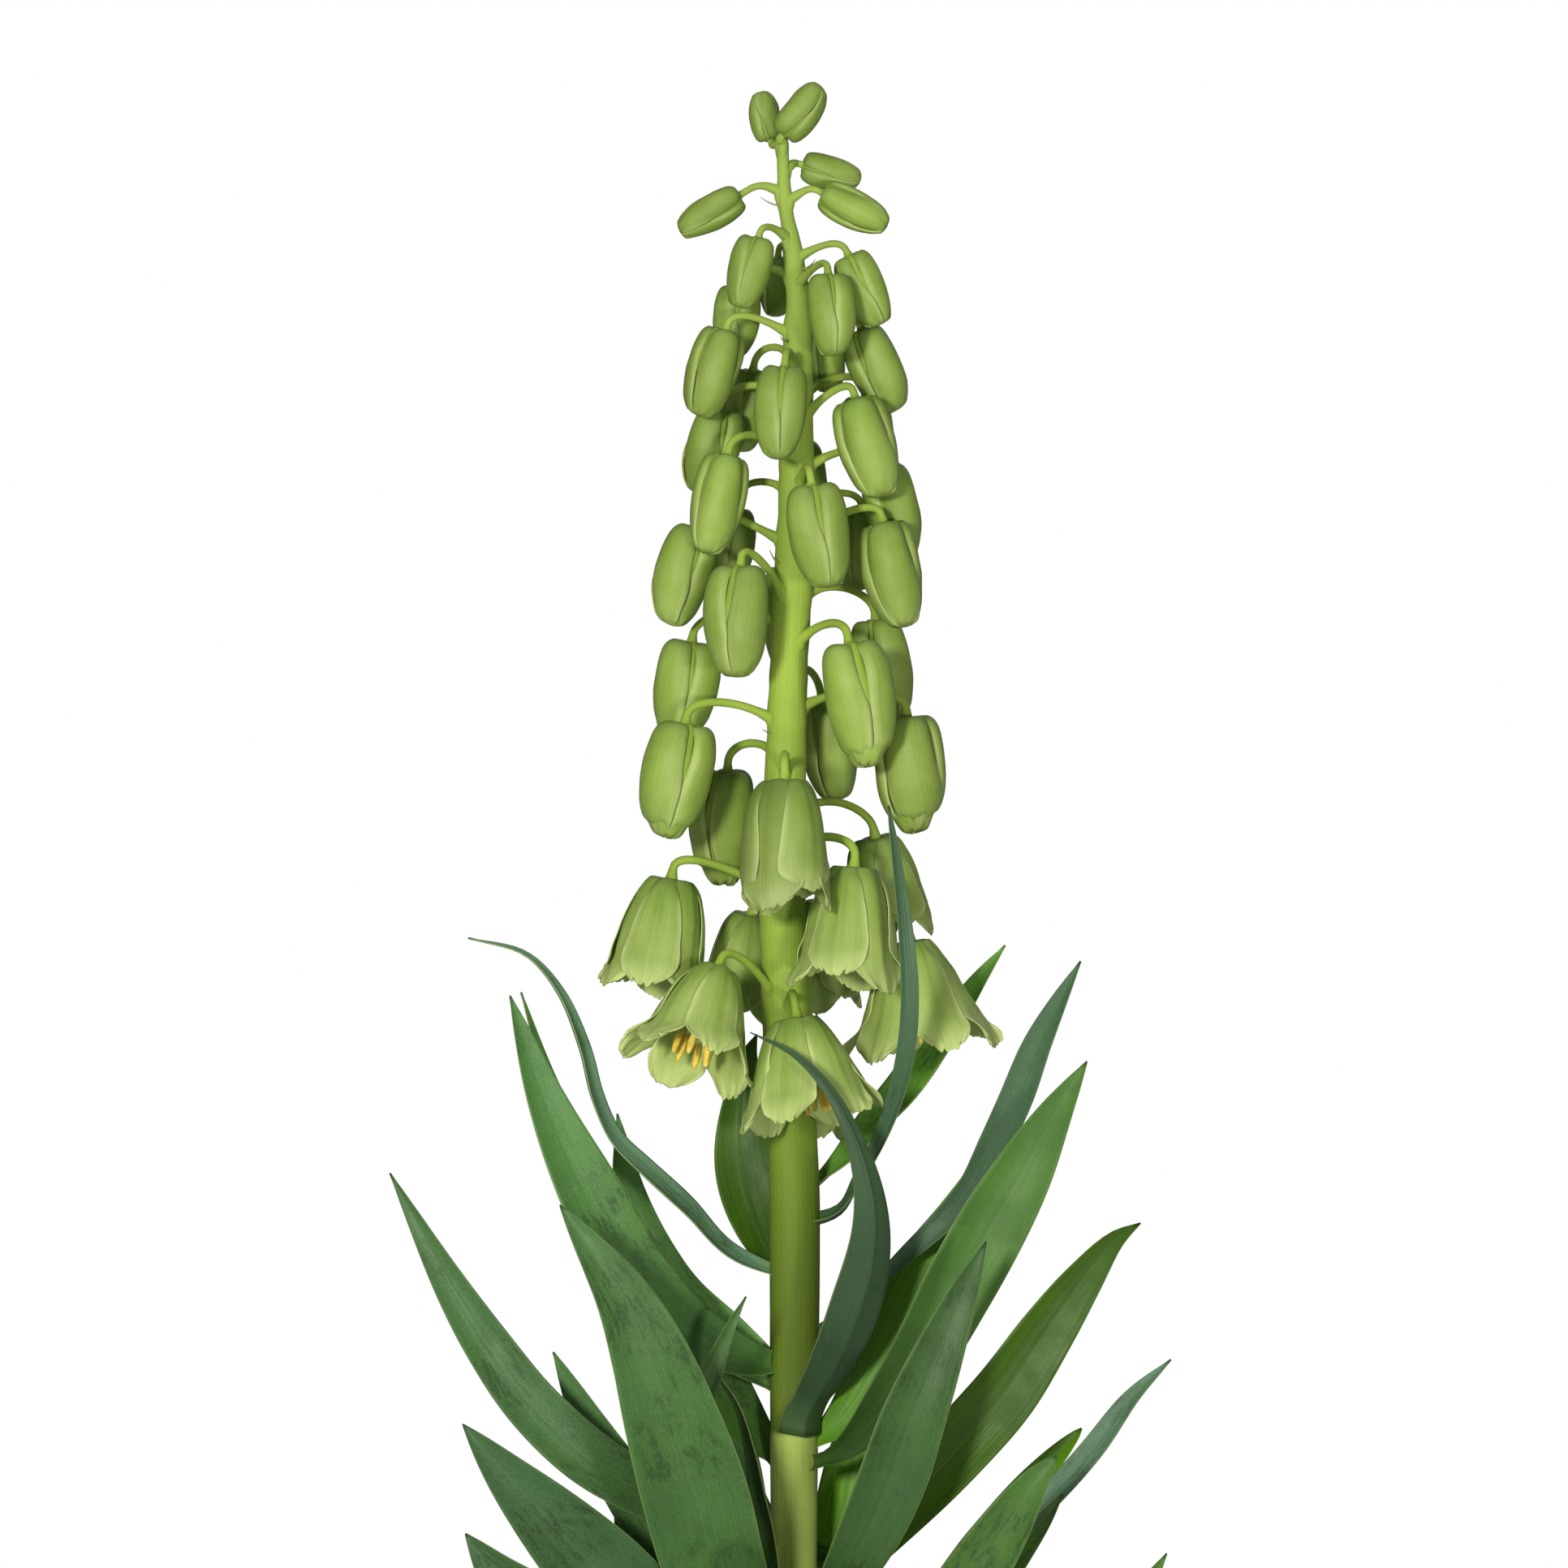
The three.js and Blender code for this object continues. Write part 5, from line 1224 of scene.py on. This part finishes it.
# bulb, in shares of its radius and height
bulb = {"radius": 21, "foot": 30, "tall": 44, "sides": 48, "lumps": 0.12, "seed": 5}
bulbShape = [
    (0.05, 0), (0.34, 0.02), (0.62, 0.08), (0.82, 0.17), (0.95, 0.29), (1, 0.41), (0.98, 0.53), (0.9, 0.66),
    (0.72, 0.79), (0.5, 0.88), (0.34, 0.95), (0.2, 1.0),
]
profile = [(bulb["radius"] * r, bulb["foot"] + bulb["tall"] * z) for r, z in bulbShape]
bulbMesh = turnedMesh("bulbPiece", profile, bulb["sides"], grainMats["bulb"], bulb["lumps"], bulb["seed"])
place("bulbPiece", bulbMesh, ["bulb"])

# soil: up the pot's wall, over the crowned top, and down round the stem and the bulb
soil = {
    "sides": 150, "lumps": 0.16, "seed": 9, "crown": 2.4, "crownR": 56, "edge": 108.4,
    "wall": [(38.0, 8.4), (39.6, 8.5)] + [(39.9 + (z - 9) / 86 * 12.8, z) for z in (12, 30, 50, 70, 90)],
    "lip": [(54.6, 101), (56.9, 107.4), (55.6, 108.2)],
    "inside": [(6.4, 110.4), (5.5, 109.2), (5.4, 76.0), (7.9, 71.6), (14.4, 65.6), (20.0, 57.4), (21.6, 47.6),
               (17.4, 36.8), (7.6, 30.4), (4.0, 29.7)],
}
top = [(r, soil["edge"] + soil["crown"] * (1 - (r / soil["crownR"]) ** 2)) for r in np.linspace(53, 9, 26)]
soilMat = grainMats["pottingSoil"]
profile = soil["wall"] + soil["lip"] + top + soil["inside"]
soilMesh = turnedMesh("soilPiece", profile, soil["sides"], soilMat, soil["lumps"], soil["seed"])

# tree: crumbs and perlite scattered over the soil's face, above Top
crumbTree, ins, outs = newTree("GeometryNodeTree", "crumbTree", {
    "Geometry": "Geometry", "Density": 200000.0, "Seed": 3, "Smallest": 0.0005, "Largest": 0.0018,
    "Top": 0.107, "Material": "Material"}, {"Geometry": "Geometry"})
g = crumbTree
own = add(g, "GeometryNodeInputPosition").outputs[0]
upward = add(g, "ShaderNodeSeparateXYZ", {0: add(g, "GeometryNodeInputNormal").outputs[0]}).outputs[2]
facesUp = compared(g, "GREATER_THAN", upward, 0.6)
onTop = compared(g, "GREATER_THAN", add(g, "ShaderNodeSeparateXYZ", {0: own}).outputs[2], ins["Top"])
both = add(g, "FunctionNodeBooleanMath", {0: facesUp, 1: onTop}, operation="AND").outputs[0]
spots = add(g, "GeometryNodeDistributePointsOnFaces", {
    "Mesh": ins[0], "Selection": both, "Density": ins["Density"], "Seed": ins["Seed"]}).outputs[0]
bent = vectorCalc(g, "SUBTRACT", noise(g, own, 1.4, 2.0, output="Color"), (0.5, 0.5, 0.5))
lump = moved(g, add(g, "GeometryNodeMeshIcoSphere", {"Radius": 1.0, "Subdivisions": 2}).outputs[0], bent)
turns = dice(g, (0, 0, 0), (6.28, 6.28, 6.28), ins["Seed"])
stretch = dice(g, (0.6, 0.6, 0.4), (1.5, 1.1, 0.9), ins["Seed"])
sizes = dice(g, ins["Smallest"], ins["Largest"], ins["Seed"])
scattered = add(g, "GeometryNodeInstanceOnPoints", {
    "Points": spots, "Instance": lump, "Rotation": turns, "Scale": vectorCalc(g, "SCALE", stretch, sizes)})
shaded = setting(g, "SetShadeSmooth", setting(g, "RealizeInstances", scattered.outputs[0]))
g.links.new(setting(g, "SetMaterial", shaded, Material=ins["Material"]), outs[0])

scatter = {
    "crumbPiece": {"Density": 130000.0, "Seed": 3, "Smallest": 0.0006, "Largest": 0.0019, "Material": soilMat},
    "perlitePiece": {"Density": 5200.0, "Seed": 8, "Smallest": 0.0008, "Largest": 0.0017,
                     "Material": grainMats["perlite"]},
}
grains = {name: runTree(crumbTree, soilMesh, values) for name, values in scatter.items()}
place("soilPiece", soilMesh, ["soil"])
for name, mesh in grains.items():
    place(name, mesh, [])
print("pot and soil made")

# floor
floor = {"radius": 2.6, "sides": 96, "z": -0.0002, "grey": rgb(232, 232, 230), "light": rgb(240, 240, 238)}
turns = [2 * math.pi * k / floor["sides"] for k in range(floor["sides"])]
floorMesh = bpy.data.meshes.new("floor")
floorMesh.from_pydata(
    [(floor["radius"] * math.cos(a), floor["radius"] * math.sin(a), floor["z"]) for a in turns], [],
    [tuple(range(floor["sides"]))])
floorMat, t, s = newMat("floor", 0.75, 0.2)
cloud = noise(t, ownPlace(t), 3.0, 2.0)
coloured(t, s, blendRgb(t, cloud, floor["grey"], floor["light"]))
floorMesh.materials.append(floorMat)
floorObj = bpy.data.objects.new("floor", floorMesh)
scene.collection.objects.link(floorObj)

print("all made")
